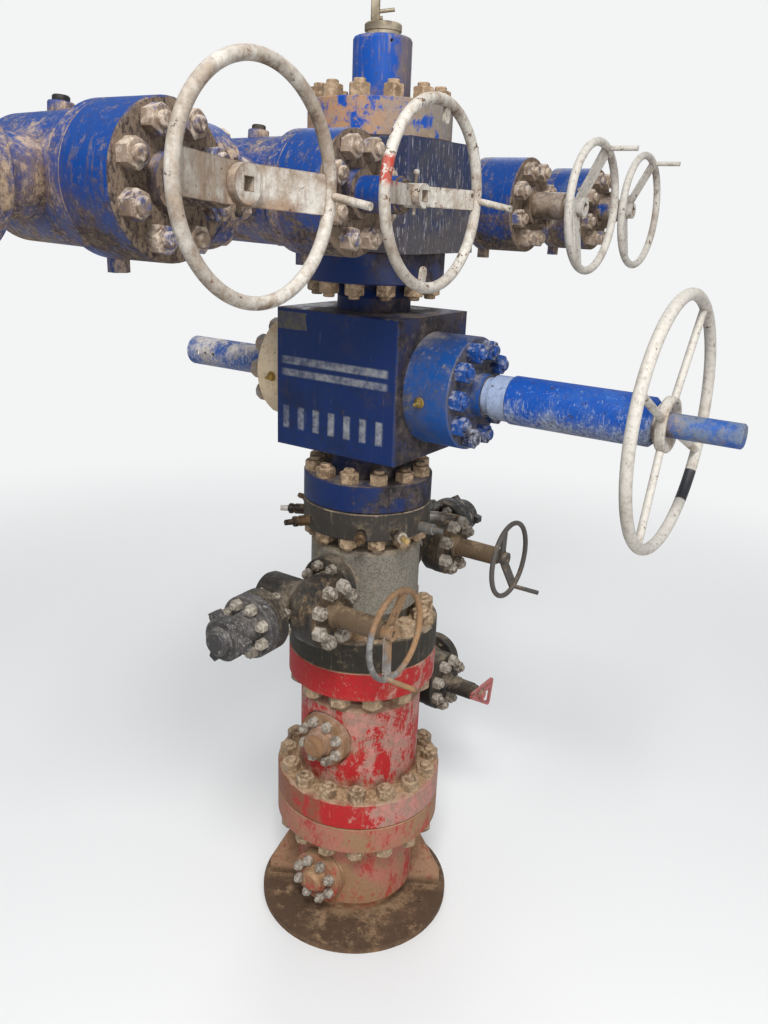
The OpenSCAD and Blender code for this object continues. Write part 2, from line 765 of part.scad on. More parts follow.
module front_valve_end() {
    color(dark) translate([0, -tubing_valve_y - outlet_length / 2, tubing_outlet_z])
        rotate([90, 0, 0]) union_flange();
}

module back_valve_body() {
    color(dark) translate([0, tubing_valve_y, tubing_outlet_z]) outlet_valve_body();
}

module back_valve_bonnet() {
    color(dark) translate([0, tubing_valve_y, tubing_outlet_z]) outlet_valve_bonnet(outlet_hub_x);
}

module back_valve_wheel() {
    color(grey) translate([0, tubing_valve_y, tubing_outlet_z]) outlet_wheel(24.5);
}

module back_valve_end() {
    color(dark) translate([0, tubing_valve_y + outlet_length / 2, tubing_outlet_z])
        rotate([-90, 0, 0]) union_flange();
}

// All studs of the side outlets: pads, valve ends and outlet valve bonnets
module outlet_studs() {
    depth = tapped_depth(outlet_size);
    bonnet_depth = tapped_depth(outlet_bonnet_size);
    color(tan) {
        for (side = [-1, 1])
            translate([0, side * head_pad_y, head_outlet_z]) rotate([side * -90, 0, 0])
                block_studs(outlet_size, outlet_flange_t, depth);
        for (side = [-1, 1])
            translate([0, side * spool_pad_y, spool_outlet_z]) rotate([side * -90, 0, 0])
                block_studs(outlet_size, outlet_flange_t, depth);
        for (side = [-1, 1])
            translate([0, side * tubing_pad_y, tubing_outlet_z]) rotate([side * -90, 0, 0])
                block_studs(outlet_size, outlet_flange_t, depth);
        for (side = [-1, 1])
            translate([0, side * (tubing_valve_y + outlet_length / 2), tubing_outlet_z])
                along_y() through_studs(outlet_size);
        translate([outlet_joint_x, spool_valve_y, spool_outlet_z]) along_x()
            block_studs(outlet_bonnet_size, outlet_bonnet_t, bonnet_depth);
        for (side = [-1, 1])
            translate([outlet_joint_x, side * tubing_valve_y, tubing_outlet_z]) along_x()
                block_studs(outlet_bonnet_size, outlet_bonnet_t, bonnet_depth);
    }
}

module tubing_joint_studs() {
    color(tan) translate([0, 0, master_z]) through_studs(master_size);
}

// Master valve

module master_valve_body() {
    neck_top = master_length / 2 - master_block_z / 2 + 1;
    hub_d = master_size[FACE];
    color(navy) difference() {
        union() {
            translate([0, 0, stem_z])
                forged_block(master_block_x, master_block_y, master_block_z, block_edge);
            translate([0, 0, master_z]) necked_flange(master_size, master_neck_d, hub_d, neck_top);
            translate([0, 0, cross_z]) mirror([0, 0, 1])
                necked_flange(master_size, master_neck_d, hub_d, neck_top);
        }
        for (side = [-1, 1])
            translate([side * master_block_x / 2, 0, stem_z]) rotate([0, side * 90, 0])
                stud_holes(bonnet_size, -tapped_depth(bonnet_size) - 4, 1, bonnet_size[STUD] + 0.4);
    }
}

bonnet_size = [master_bonnet_d, master_bonnet_t, bonnet_circle_d, bonnet_stud_d, bonnet_stud_count,
    master_bonnet_d - 20];
bonnet_front_x = master_block_x / 2 + master_bonnet_t;
master_gland_x = bonnet_front_x + front_neck_length;
master_dish = 18;
master_hub_x = hub_back(master_wheel_x, master_dish, master_collar_t);

// Bonnet disc of thickness t with a turned neck, back face at z = 0
module bonnet_disc(t, neck_d, neck_end) {
    r = master_bonnet_d / 2;
    difference() {
        rotate_extrude()
            polygon([[0, 0], [r - 2, 0], [r, 2], [r, t - 5], [r - 5, t], [neck_d / 2 + 12, t],
                [neck_d / 2, t + 14], [neck_d / 2, neck_end], [0, neck_end]]);
        stud_holes(bonnet_size, -1, t + 1, hole_of(bonnet_size));
    }
}

module master_bonnet() {
    color(blue) translate([master_block_x / 2, 0, stem_z]) along_x()
        bonnet_disc(master_bonnet_t, stem_housing_d - 16, master_bonnet_t + front_neck_length);
}

module master_stem_housing() {
    end = master_hub_x - 2 * seat_gap;
    tube_x = master_gland_x + housing_ring_length;
    r = stem_housing_d / 2;
    color(blue) translate([0, 0, stem_z]) difference() {
        along_x() rotate_extrude()
            polygon([[0, master_gland_x], [r - 17, master_gland_x], [r - 17, master_gland_x + 26],
                [r - 6, master_gland_x + 28], [r - 5, tube_x - 2], [r - 3, tube_x], [r, tube_x + 3],
                [r, end - 62], [r - 9, end - 60], [r - 9, end - 48], [r - 4, end - 46],
                [r - 4, end - 16], [r - 16, end - 3], [r - 20, end], [0, end]]);
        translate([end - 60, 0, 0]) along_x() cylinder(d = 60 + 2 * stem_gap, h = 61);
    }
}

module master_back_bonnet() {
    color(white) translate([-master_block_x / 2, 0, stem_z]) rotate([0, -90, 0])
        bonnet_disc(back_bonnet_t, back_neck_d, back_bonnet_t + back_neck_length);
}

module master_tail_tube() {
    start = master_block_x / 2 + back_bonnet_t + back_neck_length;
    r = tail_tube_d / 2;
    color(blue) translate([0, 0, stem_z]) rotate([0, -90, 0]) difference() {
        rotate_extrude()
            polygon([[0, start], [r + 14, start], [r, start + 60], [r, tail_end_x - 3], [r - 3, tail_end_x],
                [r - 9, tail_end_x], [r - 9, tail_end_x - 170], [0, tail_end_x - 170]]);
        for (i = [0:2])
            translate([0, 0, tail_end_x - 62 - i * 42]) rotate([90, 0, 0])
                cylinder(d = 16, h = r + 1, $fn = 32);
    }
}

module master_bonnet_studs() {
    color(tan) for (side = [-1, 1])
        translate([side * master_block_x / 2, 0, stem_z]) rotate([0, side * 90, 0])
            block_studs(bonnet_size, side > 0 ? master_bonnet_t : back_bonnet_t, tapped_depth(bonnet_size));
}

module master_wheel() {
    ring_r = (master_wheel_d - master_rim_d) / 2;
    hub_r = master_collar_d / 2;
    cover_r = stem_cover_d / 2;
    low = -master_dish - master_collar_t / 2;
    high = low + master_collar_t;
    spoke_reach = [ring_r - hub_r + 8, master_dish - 6];
    color(white) translate([master_wheel_x, 0, stem_z]) rotate([-master_turn, 0, 0]) along_x() union() {
        rotate_extrude($fn = 128) translate([ring_r, 0]) circle(d = master_rim_d, $fn = 24);
        for (i = [0:3])
            rotate([0, 0, i * 90 + (i % 2) * side_spoke_skew]) translate([hub_r - 8, 0, -spoke_reach[1]])
                rotate([0, 90 - atan2(spoke_reach[1], spoke_reach[0]), 0])
                    cylinder(d = master_spoke_d, h = norm(spoke_reach), $fn = 32);
        translate([0, 0, low - 56]) cylinder(d = 60, h = 60);
        rotate_extrude()
            polygon([[0, low], [hub_r - 25, low], [hub_r - 23, low + 12], [hub_r - 5, low + 13],
                [hub_r, low + 18], [hub_r, high - 4], [hub_r - 4, high], [hub_r - 14, high],
                [cover_r + 12, high - 18], [cover_r, high - 18],
                [cover_r, high + stem_cover_length - 5], [cover_r - 5, high + stem_cover_length],
                [0, high + stem_cover_length]]);
    }
}

// Cross, wing valves and cap

module cross_joint_studs() {
    color(tan) translate([0, 0, cross_z]) mirror([0, 0, 1])
        block_studs(master_size, master_flange_t, tapped_depth(master_size));
}

module cross_block() {
    depth = tapped_depth(master_size) + 4;
    side_depth = tapped_depth(wing_size) + 4;
    color(navy) difference() {
        translate([0, 0, cross_z + cross_h / 2]) forged_block(cross_x, cross_y, cross_h, block_edge);
        translate([0, 0, cross_z]) stud_holes(master_size, -1, depth, master_stud_d + 0.4);
        translate([0, 0, cap_z]) stud_holes(master_size, -depth, 1, master_stud_d + 0.4);
        for (side = [-1, 1])
            translate([0, side * cross_y / 2, wing_z]) rotate([side * -90, 0, 0])
                stud_holes(wing_size, -side_depth, 1, wing_stud_d + 0.4);
    }
}

module top_flange_cap() {
    r = cap_d / 2;
    top = cap_flange_t + cap_h;
    color(blue) translate([0, 0, cap_z]) difference() {
        rotate_extrude()
            polygon(concat(flange_points(cap_size), [[r + 10, cap_flange_t], [r, cap_flange_t + 12],
                [r, top - 12], [r - 4, top - 4], [r - 12, top], [0, top]]));
        stud_holes(cap_size, -1, cap_flange_t + 1, hole_of(cap_size));
        translate([0, 0, top - 26]) cylinder(d = 80 + 2 * seat_gap, h = 27);
        rotate([0, 0, -39]) translate([r - 20, 0, top - 22]) along_x() cylinder(d = 10, h = 30, $fn = 24);
    }
}

module top_flange_studs() {
    color(tan) translate([0, 0, cap_z]) block_studs(cap_size, cap_flange_t, tapped_depth(cap_size));
}

module needle_valve() {
    stem = [-22, -15];
    color(grey) translate([0, 0, cap_z + cap_flange_t + cap_h]) union() {
        translate([0, 0, -25]) cylinder(d = 80, h = 26);
        rotate_extrude()
            polygon([[0, 0], [56, 0], [57, 2], [57, 13], [60, 16], [60, 34], [57, 38], [52, 40], [0, 40]]);
        translate([stem[0], stem[1], 39]) rotate([0, 0, 33]) linear_extrude(112) rounded_square(29, 22, 5);
        translate([stem[0], stem[1], 150]) cylinder(d = 13, h = 22);
        translate([stem[0], stem[1], 71]) rotate([0, 82, 33]) cylinder(d = 12, h = 62);
        translate([stem[0], stem[1], 53]) rotate([0, 90, 33]) cylinder(d = 15, h = 24);
    }
}

// A wing gate valve's body, bore along Y, stem towards +X; free_end is the side of the arm's free flange,
// or 0 where both flanges are bolted up
module wing_valve_body(free_end) {
    barrel_r = wing_bonnet_d / 2;
    back_x = -190;
    difference() {
        union() {
            for (side = [-1, 1])
                translate([0, side * wing_length / 2, 0]) rotate([side * 90, 0, 0])
                    necked_flange(wing_size, wing_neck_d, wing_size[FACE] + 6, wing_length / 2,
                        side == free_end ? end_stud_gap : stud_gap);
            along_x() rotate_extrude()
                polygon([[0, back_x], [barrel_r - 50, back_x], [barrel_r - 24, back_x + 26],
                    [barrel_r - 18, wing_joint_x - 60], [barrel_r, wing_joint_x - 36],
                    [barrel_r, wing_joint_x - 2], [barrel_r - 2, wing_joint_x], [0, wing_joint_x]]);
            translate([wing_joint_x - 30, 0, -barrel_r + 6]) mirror([0, 0, 1])
                cylinder(d = 44 / cos(30), h = 36, $fn = 6);
        }
        for (side = [-1, 1])
            translate([0, side * (wing_length / 2 - 210), 0]) rotate([side * -90, 0, 0])
                cylinder(d = wing_bore_d, h = 211);
        translate([wing_joint_x, 0, 0]) along_x()
            stud_holes(wing_bonnet_size, -tapped_depth(wing_bonnet_size) - 4, 1, wing_bonnet_stud_d + 0.4);
    }
}

wing_bonnet_size = [wing_bonnet_d, wing_bonnet_t, wing_bonnet_circle_d, wing_bonnet_stud_d,
    wing_bonnet_stud_count, wing_bonnet_d - 20];
wing_dish = 55;
wing_hub_h = 56;

// Bonnet and stem housing of one wing valve whose wheel has its rim at rim_x
module wing_bonnet(rim_x) {
    r = wing_bonnet_d / 2;
    front = wing_joint_x + wing_bonnet_t;
    housing_r = wing_housing_d / 2;
    end = hub_back(rim_x, wing_dish, wing_hub_h) - 2 * seat_gap;
    difference() {
        along_x() rotate_extrude()
            polygon([[0, wing_joint_x], [r - 2, wing_joint_x], [r, wing_joint_x + 2], [r, front - 4],
                [r - 4, front], [housing_r + 20, front], [housing_r + 16, front + 24],
                [housing_r, front + 26], [housing_r, end - 16], [housing_r - 6, end - 14],
                [housing_r - 6, end - 4], [housing_r - 10, end], [0, end]]);
        translate([wing_joint_x, 0, 0]) along_x()
            stud_holes(wing_bonnet_size, -1, wing_bonnet_t + 1, hole_of(wing_bonnet_size));
        translate([end - 50, 0, 0]) along_x() cylinder(d = 40 + 2 * stem_gap, h = 51);
    }
}

module wing_wheel(y, rim_x, wheel_d, bar_w, hub_d, turn, peg_lean) {
    color(white) translate([0, y, wing_z])
        bar_wheel(wheel_d, wing_rim_d, rim_x, wing_dish, bar_w, 10, hub_d, wing_hub_h, 40, 46, turn, -1,
            peg_lean);
}

module left_outer_body() {
    color(blue) translate([0, -outer_y, wing_z]) wing_valve_body(-1);
}

module left_inner_body() {
    color(blue) translate([0, -inner_y, wing_z]) wing_valve_body(0);
}

module right_inner_body() {
    color(blue) translate([0, inner_y, wing_z]) wing_valve_body(0);
}

module right_outer_body() {
    color(blue) translate([0, outer_y, wing_z]) wing_valve_body(1);
}

module wing_bonnets() {
    color(blue) {
        for (y = [-outer_y, -inner_y, inner_y])
            translate([0, y, wing_z]) wing_bonnet(wing_wheel_x);
        translate([0, outer_y, wing_z]) wing_bonnet(wing_wheel_x - drawn_in);
    }
}

module wing_studs() {
    color(tan) {
        for (side = [-1, 1])
            translate([0, side * cross_y / 2, wing_z]) rotate([side * -90, 0, 0])
                block_studs(wing_size, wing_flange_t, tapped_depth(wing_size));
        for (side = [-1, 1])
            translate([0, side * (inner_y + wing_length / 2), wing_z]) along_y() through_studs(wing_size);
        for (y = [-outer_y, -inner_y, inner_y, outer_y])
            translate([wing_joint_x, y, wing_z]) along_x()
                block_studs(wing_bonnet_size, wing_bonnet_t, tapped_depth(wing_bonnet_size));
    }
}

module left_outer_wheel() {
    wing_wheel(-outer_y, wing_wheel_x, left_wheel_d, wide_bar_w, 80, -93.5, 10);
}

module left_inner_wheel() {
    wing_wheel(-inner_y, wing_wheel_x, left_wheel_d, slim_bar_w, 62, -91, 10);
}

module right_inner_wheel() {
    wing_wheel(inner_y, wing_wheel_x, right_wheel_d, slim_bar_w + 8, 66, -22, 0);
}

module right_outer_wheel() {
    wing_wheel(outer_y, wing_wheel_x - drawn_in, right_wheel_d, slim_bar_w - 4, 62, -28, 0);
}

base_plate();
casing_head();
casing_head_flanges();
casing_joint_studs();
casing_spool();
spool_front_flange();
spool_valve_body();
spool_valve_bonnet();
spool_valve_wheel();
spool_joint_studs();
tubing_head();
lockdown_screws();
front_valve_body();
front_valve_bonnet();
front_valve_wheel();
front_valve_end();
back_valve_body();
back_valve_bonnet();
back_valve_wheel();
back_valve_end();
outlet_studs();
tubing_joint_studs();
master_valve_body();
master_bonnet();
master_stem_housing();
master_back_bonnet();
master_tail_tube();
master_bonnet_studs();
master_wheel();
cross_joint_studs();
cross_block();
top_flange_cap();
top_flange_studs();
needle_valve();
left_outer_body();
left_inner_body();
right_inner_body();
right_outer_body();
wing_bonnets();
wing_studs();
left_outer_wheel();
left_inner_wheel();
right_inner_wheel();
right_outer_wheel();
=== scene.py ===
"""Looks of the oil wellhead valve stack: paint, mud, rust, stud threads and small fittings."""
import math

import bmesh
import bpy
from mathutils import Matrix, Vector, noise


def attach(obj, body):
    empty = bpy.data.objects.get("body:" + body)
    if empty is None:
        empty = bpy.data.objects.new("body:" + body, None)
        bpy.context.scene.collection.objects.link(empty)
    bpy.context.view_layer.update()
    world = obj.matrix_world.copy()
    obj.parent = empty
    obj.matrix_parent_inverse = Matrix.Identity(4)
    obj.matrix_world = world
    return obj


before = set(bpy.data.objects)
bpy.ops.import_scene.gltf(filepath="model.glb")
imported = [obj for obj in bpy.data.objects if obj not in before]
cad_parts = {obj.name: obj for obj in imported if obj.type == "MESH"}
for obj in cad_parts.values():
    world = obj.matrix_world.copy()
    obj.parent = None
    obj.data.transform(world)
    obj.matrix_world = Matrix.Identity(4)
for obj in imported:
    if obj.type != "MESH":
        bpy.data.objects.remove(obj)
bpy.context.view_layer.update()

# Joint faces up the stack and the valves' centres, in metres as in the frame
casing_z, tubing_z, master_z, cross_z, cap_z = 0.550, 1.213, 1.818, 2.707, 3.050
wing_z, stem_z = 2.8735, 2.2625
inner_y, outer_y = 0.555, 1.225
head_seat, head_outlet_z = 0.240, 0.230
spool_seat, spool_valve_y, spool_outlet_z = 0.215, 0.429, 0.873
tubing_seat, tubing_valve_y, tubing_outlet_z = 0.206, 0.420, 1.525
outlet_half = 0.214
wing_half, cross_half = 0.335, 0.22
wing_joint_x, outlet_joint_x = 0.158, 0.108
master_face_x = 0.254
wing_rim_x, right_outer_rim_x = 0.552, 0.502
stud_stick = 0.012
tail_tube_r, tail_end_x = 0.057, -0.878
bonnet_disc_r = 0.190
stem_cover_r, stem_cover_x = 0.0375, 1.070
tau = 2 * math.pi


def paint_rgb(red, green, blue):
    """A colour read off as 0 to 255, as the linear numbers that a shader takes."""
    line = [((c / 255 + 0.055) / 1.055) ** 2.4 if c > 10 else c / 255 / 12.92 for c in (red, green, blue)]
    return (*line, 1.0)


class Amount:
    """A number that varies over a surface. Sums, products and powers of it add their Math nodes."""

    def __init__(self, shop, socket):
        self.shop, self.socket = shop, socket

    def __add__(self, other): return self.shop.math("ADD", self, other)
    def __radd__(self, other): return self.shop.math("ADD", other, self)
    def __sub__(self, other): return self.shop.math("SUBTRACT", self, other)
    def __rsub__(self, other): return self.shop.math("SUBTRACT", other, self)
    def __mul__(self, other): return self.shop.math("MULTIPLY", self, other)
    def __truediv__(self, other): return self.shop.math("DIVIDE", self, other)
    def __pow__(self, other): return self.shop.math("POWER", self, other)
    def __neg__(self): return self.shop.math("MULTIPLY", self, -1)


class PaintShop:
    """One finish and the nodes that mix it."""

    def __init__(self, name):
        self.material = bpy.data.materials.new(name)
        self.material.use_nodes = True
        self.tree = self.material.node_tree
        self.tree.nodes.clear()
        where = self.node("ShaderNodeTexCoord")
        self.place = where.outputs["Object"]
        self.facing = self.node("ShaderNodeSeparateXYZ", Vector=where.outputs["Normal"])
        self.spot = self.node("ShaderNodeSeparateXYZ", Vector=self.place)
        self.ahead, self.sideways, self.up = (Amount(self, self.facing.outputs[axis]) for axis in "XYZ")
        self.x, self.y, self.z = (Amount(self, self.spot.outputs[axis]) for axis in "XYZ")

    def node(self, kind, settings=None, **values):
        """Adds a node, sets its settings first and then its sockets, by name or as _ and their number."""
        made = self.tree.nodes.new(kind)
        for name, value in (settings or {}).items():
            setattr(made, name, value)
        for name, value in values.items():
            index = int(name[1:]) if name[0] == "_" else name.replace("_", " ")
            socket = made.inputs[index]
            if isinstance(value, Amount):
                value = value.socket
            if isinstance(value, bpy.types.NodeSocket):
                self.tree.links.new(value, socket)
            else:
                socket.default_value = value
        return made

    def math(self, operation, a, b=0.0):
        made = self.node("ShaderNodeMath", {"operation": operation}, _0=a, _1=b)
        return Amount(self, made.outputs[0])

    def stretched(self, stretch):
        made = self.node("ShaderNodeVectorMath", {"operation": "MULTIPLY"}, _0=self.place, _1=stretch)
        return made.outputs[0]

    def cloud(self, scale, detail=4, roughness=0.6, distortion=0.0, stretch=None):
        source = self.stretched(stretch) if stretch else self.place
        made = self.node("ShaderNodeTexNoise", Vector=source, Scale=scale, Detail=detail,
                         Roughness=roughness, Distortion=distortion)
        return Amount(self, made.outputs["Fac"])

    def step(self, value, low, high):
        made = self.node("ShaderNodeMapRange", {"interpolation_type": "SMOOTHSTEP"}, Value=value,
                         From_Min=low, From_Max=high)
        return Amount(self, made.outputs[0])

    def within(self, value, low, high, soft=0.002):
        """1 from low to high, with soft ends."""
        return self.step(value, low - soft, low + soft) * (1 - self.step(value, high - soft, high + soft))

    def crevice(self, reach):
        made = self.node("ShaderNodeAmbientOcclusion", {"samples": 3}, Distance=reach)
        return 1 - Amount(self, made.outputs["AO"])

    def edge(self, radius):
        """1 along outer edges, from how far a rounded normal leans away from the true one."""
        rounded = self.node("ShaderNodeBevel", {"samples": 3}, Radius=radius)
        true = self.node("ShaderNodeNewGeometry")
        lean = self.node("ShaderNodeVectorMath", {"operation": "DOT_PRODUCT"}, _0=rounded.outputs[0],
                         _1=true.outputs["Normal"])
        return self.step(1 - Amount(self, lean.outputs["Value"]), 0.015, 0.12)

    def mix(self, share, first, second):
        made = self.node("ShaderNodeMix", {"data_type": "RGBA"}, _0=share, _6=first, _7=second)
        return made.outputs[2]

    def finish(self, colour, roughness, metal, height, depth, alpha=1.0):
        bump = self.node("ShaderNodeBump", Strength=0.6, Distance=depth, Height=height)
        skin = self.node("ShaderNodeBsdfPrincipled", Base_Color=colour, Roughness=roughness, Metallic=metal,
                         Normal=bump.outputs[0], Alpha=alpha, Specular_IOR_Level=0.32)
        self.node("ShaderNodeOutputMaterial", Surface=skin.outputs[0])
        return self.material


dry_mud, pale_mud, dark_mud = paint_rgb(126, 108, 90), paint_rgb(172, 154, 132), paint_rgb(76, 62, 50)
chip_brown = paint_rgb(116, 78, 52)
rust_brown, rust_orange, bare_iron = paint_rgb(84, 50, 32), paint_rgb(150, 88, 46), paint_rgb(58, 54, 50)


def cover(amount):
    """The noise level above which that share of a surface is covered."""
    return 0.68 - 0.36 * amount


def worn_paint(name, coat, faded, fade=0.3, film=0.3, splash=0.3, chips=0.25, wear=0.6, streaks=0.2,
               mud=dry_mud, mud_light=pale_mud, mud_dark=dark_mud, under=rust_brown, rough=0.4,
               top_dust=0.5, low_mud=0.0, front_mud_and_shade=0.0, haze=0.25, drips=0.0, markings=None):
    """Old paint: faded in patches, under hazes and broken films of dried mud, spattered, chipped and worn.

    fade, film, splash, chips, streaks, haze and drips are about the shares that they cover, wear is for the
    edges, and top_dust, low_mud and front_mud_and_shade lean the mud to faces that look up, down or along +X.
    On faces along +X the mud is also darkened, as painted shade.
    """
    shop = PaintShop(name)
    base = coat(shop) if callable(coat) else coat
    broad, middle, fine = shop.cloud(3.1, 5, 0.62), shop.cloud(13, 9, 0.7), shop.cloud(72, 6, 0.72)
    faded_share = shop.step(broad * 0.55 + middle * 0.45, cover(fade) - 0.03, cover(fade) + 0.12)
    colour = shop.mix(faded_share * 0.85, base, faded)
    if markings:
        colour = markings(shop, colour, middle)
    colour = shop.mix(shop.step(fine, 0.48, 0.64) * 0.25, colour, mud_dark)
    lean = shop.up * (0.07 * top_dust) - shop.up * (0.12 * low_mud) + shop.ahead * (0.12 * front_mud_and_shade)
    nook = shop.crevice(0.06)
    # Mud on faces along +X is given a darker tone here, which is painted shade.
    tone = shop.cloud(19, 7, 0.74) * 0.7 + fine * 0.3 + shop.up * 0.10 - shop.ahead * (0.05 * front_mud_and_shade)
    mud_colour = shop.mix(shop.step(tone, 0.36, 0.48), mud_dark, mud)
    mud_colour = shop.mix(shop.step(tone, 0.47, 0.62), mud_colour, mud_light)
    veil = shop.cloud(5.2, 8, 0.66) * 0.6 + middle * 0.25 + fine * 0.15 + lean
    colour = shop.mix(shop.step(veil, cover(haze) - 0.08, cover(haze) + 0.14) * 0.55, colour, mud)
    run_value = shop.cloud(1.0, 7, 0.72, 0.2, stretch=(58, 58, 5.5)) + lean * 0.3
    runs = shop.step(run_value, cover(streaks), cover(streaks) + 0.1)
    film_value = middle * 0.5 + shop.cloud(6.5, 9, 0.72) * 0.34 + fine * 0.16 + lean + nook * 0.26
    film_share = shop.step(film_value, cover(film) - 0.02, cover(film) + 0.10)
    colour = shop.mix(shop.math("MAXIMUM", film_share * 0.88, runs * 0.45), colour, mud_colour)
    spatter = shop.cloud(1.0, 6, 0.82, stretch=(88, 88, 52)) * 0.62
    spatter = spatter + broad * 0.16 + middle * 0.22 + lean * 0.4
    fleck = shop.step(spatter, cover(splash) - 0.01, cover(splash) + 0.07)
    colour = shop.mix(fleck * 0.55, colour, mud_light)
    if drips:
        thin = shop.cloud(1.0, 4, 0.75, stretch=(130, 130, 17))
        colour = shop.mix(shop.step(thin, cover(drips), cover(drips) + 0.05) * 0.8, colour, mud_light)
    chip_value = shop.cloud(38, 7, 0.74) + shop.edge(0.0035) * (0.26 * wear)
    chip = shop.step(chip_value, cover(chips) + 0.06, cover(chips) + 0.085)
    bare = shop.mix(shop.step(fine, 0.44, 0.58), under, bare_iron)
    colour = shop.mix(chip * 0.9, colour, bare)
    roughness = rough + film_share * 0.4 + fleck * 0.2 + chip * 0.25 + fine * 0.2
    height = film_share * 0.55 + fleck * 0.3 - chip * 0.35 + fine * 0.3 + runs * 0.15
    return shop.finish(colour, shop.math("MINIMUM", roughness, 0.95), chip * 0.3, height, 0.0018)


def dusty_steel(name, steel, dust, dark, dust_share=0.5, tint=None, tint_share=0.0, metal=0.2, zones=None):
    """Plated studs, nuts and bare fittings under dust, each a little different by its place, with grime and
    painted shade in their crevices.
    """
    shop = PaintShop(name)
    place_to_place, middle = shop.cloud(9.3, 2, 0.5), shop.cloud(48, 7, 0.74)
    nook = shop.crevice(0.02)
    base = zones(shop, steel) if zones else steel
    colour = shop.mix(shop.step(place_to_place, 0.42, 0.66), base, dark)
    if tint:
        patch = shop.step(shop.cloud(19, 6, 0.74) * 0.6 + place_to_place * 0.4, cover(tint_share),
                          cover(tint_share) + 0.08)
        colour = shop.mix(patch * 0.9, colour, tint)
    dusted = shop.step(middle + shop.up * 0.06 + nook * 0.1 - 0.02, cover(dust_share) - 0.05,
                       cover(dust_share) + 0.10)
    colour = shop.mix(dusted * 0.75, colour, dust)
    # Crevices and gaps between parts are darkened towards the dark colour: grime and painted shade.
    colour = shop.mix(shop.step(nook * 0.6 + middle * 0.4, 0.42, 0.64) * 0.6, colour, dark)
    speck = shop.step(shop.cloud(190, 3, 0.7), 0.58, 0.66)
    colour = shop.mix(speck * 0.4, colour, dark)
    roughness = 0.42 + dusted * 0.4 + middle * 0.15
    height = dusted * 0.5 + speck * 0.3 + middle * 0.4
    return shop.finish(colour, roughness, metal - dusted * metal, height, 0.0009)


# Finishes

royal, clear_blue = paint_rgb(2, 60, 132), paint_rgb(0, 72, 160)
grey_blue, chalk_blue = paint_rgb(66, 82, 112), paint_rgb(84, 110, 154)
signal_red, pink = paint_rgb(172, 26, 30), paint_rgb(186, 122, 110)
# The dark olive is made darker than the paint, as painted shade.
olive = paint_rgb(44, 40, 33)
cement, dark_cement = paint_rgb(134, 128, 116), paint_rgb(84, 80, 72)
off_white, stained_white = paint_rgb(202, 196, 186), paint_rgb(152, 138, 124)
near_black = paint_rgb(42, 40, 38)


def stencil_bars(shop, colour, middle):
    """Two plain worn stripes over a row of short bars on the master block's -Y side, and a primer patch, all
    less worn towards +X as painted light.
    """
    side = shop.step(-shop.sideways, 0.5, 0.6)
    bars = None
    rows = ((0.052, 0.078, -0.236, 0.466, 0.452, 1), (0.010, 0.034, -0.236, 0.466, 0.452, 1),
            (-0.178, -0.098, -0.224, 0.0668, 0.028, 7))
    for low, high, first, pitch, width, count in rows:
        row = shop.within(shop.z, stem_z + low, stem_z + high, 0.004)
        along = (shop.x - first) / pitch
        part = along - shop.math("FLOOR", along)
        inside = shop.within(along, 0.0, count - 0.001)
        inside = inside * shop.within(part, 0.02, width / pitch, 0.02 if count == 1 else 0.08)
        bars = row * inside if bars is None else shop.math("MAXIMUM", bars, row * inside)
    # The wear also lessens towards +X, so the bars and the patch are brighter on that side: painted light.
    worn = shop.step(shop.cloud(30, 8, 0.8) * 0.6 + middle * 0.4 - shop.x * 0.15, 0.42, 0.60)
    colour = shop.mix(bars * side * (0.66 - worn * 0.5), colour, paint_rgb(172, 172, 170))
    ragged = shop.cloud(30, 6, 0.75) * 0.04
    patch = shop.within(shop.x, -0.26, -0.14 + ragged)
    patch = patch * shop.within(shop.z, stem_z + 0.166 + ragged * 0.3, stem_z + 0.231)
    return shop.mix(patch * side * (0.95 - worn * 0.5), colour, paint_rgb(98, 90, 70))


def tubing_head_bands(shop):
    """Grey cast body over a dark olive lower flange, with a blackened upper flange; both flange colours are
    made darker still as painted shade.
    """
    lower = shop.step(shop.z, tubing_z + 0.121, tubing_z + 0.124)
    upper = shop.step(shop.z, master_z - 0.104, master_z - 0.102)
    speckle = shop.step(shop.cloud(130, 5, 0.8), 0.46, 0.60)
    body = shop.mix(speckle * 0.8, cement, dark_cement)
    # Both flange colours are made darker than their paint, as painted shade.
    return shop.mix(upper, shop.mix(lower, olive, body), paint_rgb(54, 50, 46))


def spool_bands(shop):
    """Bright red upper flange, body worn to grey and pink, and a lower flange that goes pink, and brown
    towards -X, painted shade mixed with grime.
    """
    upper = shop.step(shop.z, tubing_z - 0.121, tubing_z - 0.119)
    lower = 1 - shop.step(shop.z, casing_z + 0.112, casing_z + 0.115)
    across = shop.x * 0.84 + shop.y * 0.54
    drawn = shop.cloud(1.0, 9, 0.78, stretch=(8, 8, 5.0)) * 0.74 + shop.cloud(46, 6, 0.8) * 0.26
    chalk = shop.step(drawn - upper * (0.09 - across * 0.3) + lower * (across * 0.5 - 0.05), 0.46, 0.505)
    chalky = shop.mix(shop.step(shop.cloud(22, 8, 0.76), 0.40, 0.60), paint_rgb(156, 124, 110),
                      paint_rgb(190, 128, 118))
    coat = shop.mix(chalk, signal_red, chalky)
    # The lower flange turns brown towards -X: painted shade mixed with grime.
    brown = lower * shop.step((drawn - 0.5) * 0.8 - across, 0.12, 0.22)
    return shop.mix(brown * 0.85, coat, paint_rgb(122, 84, 58))


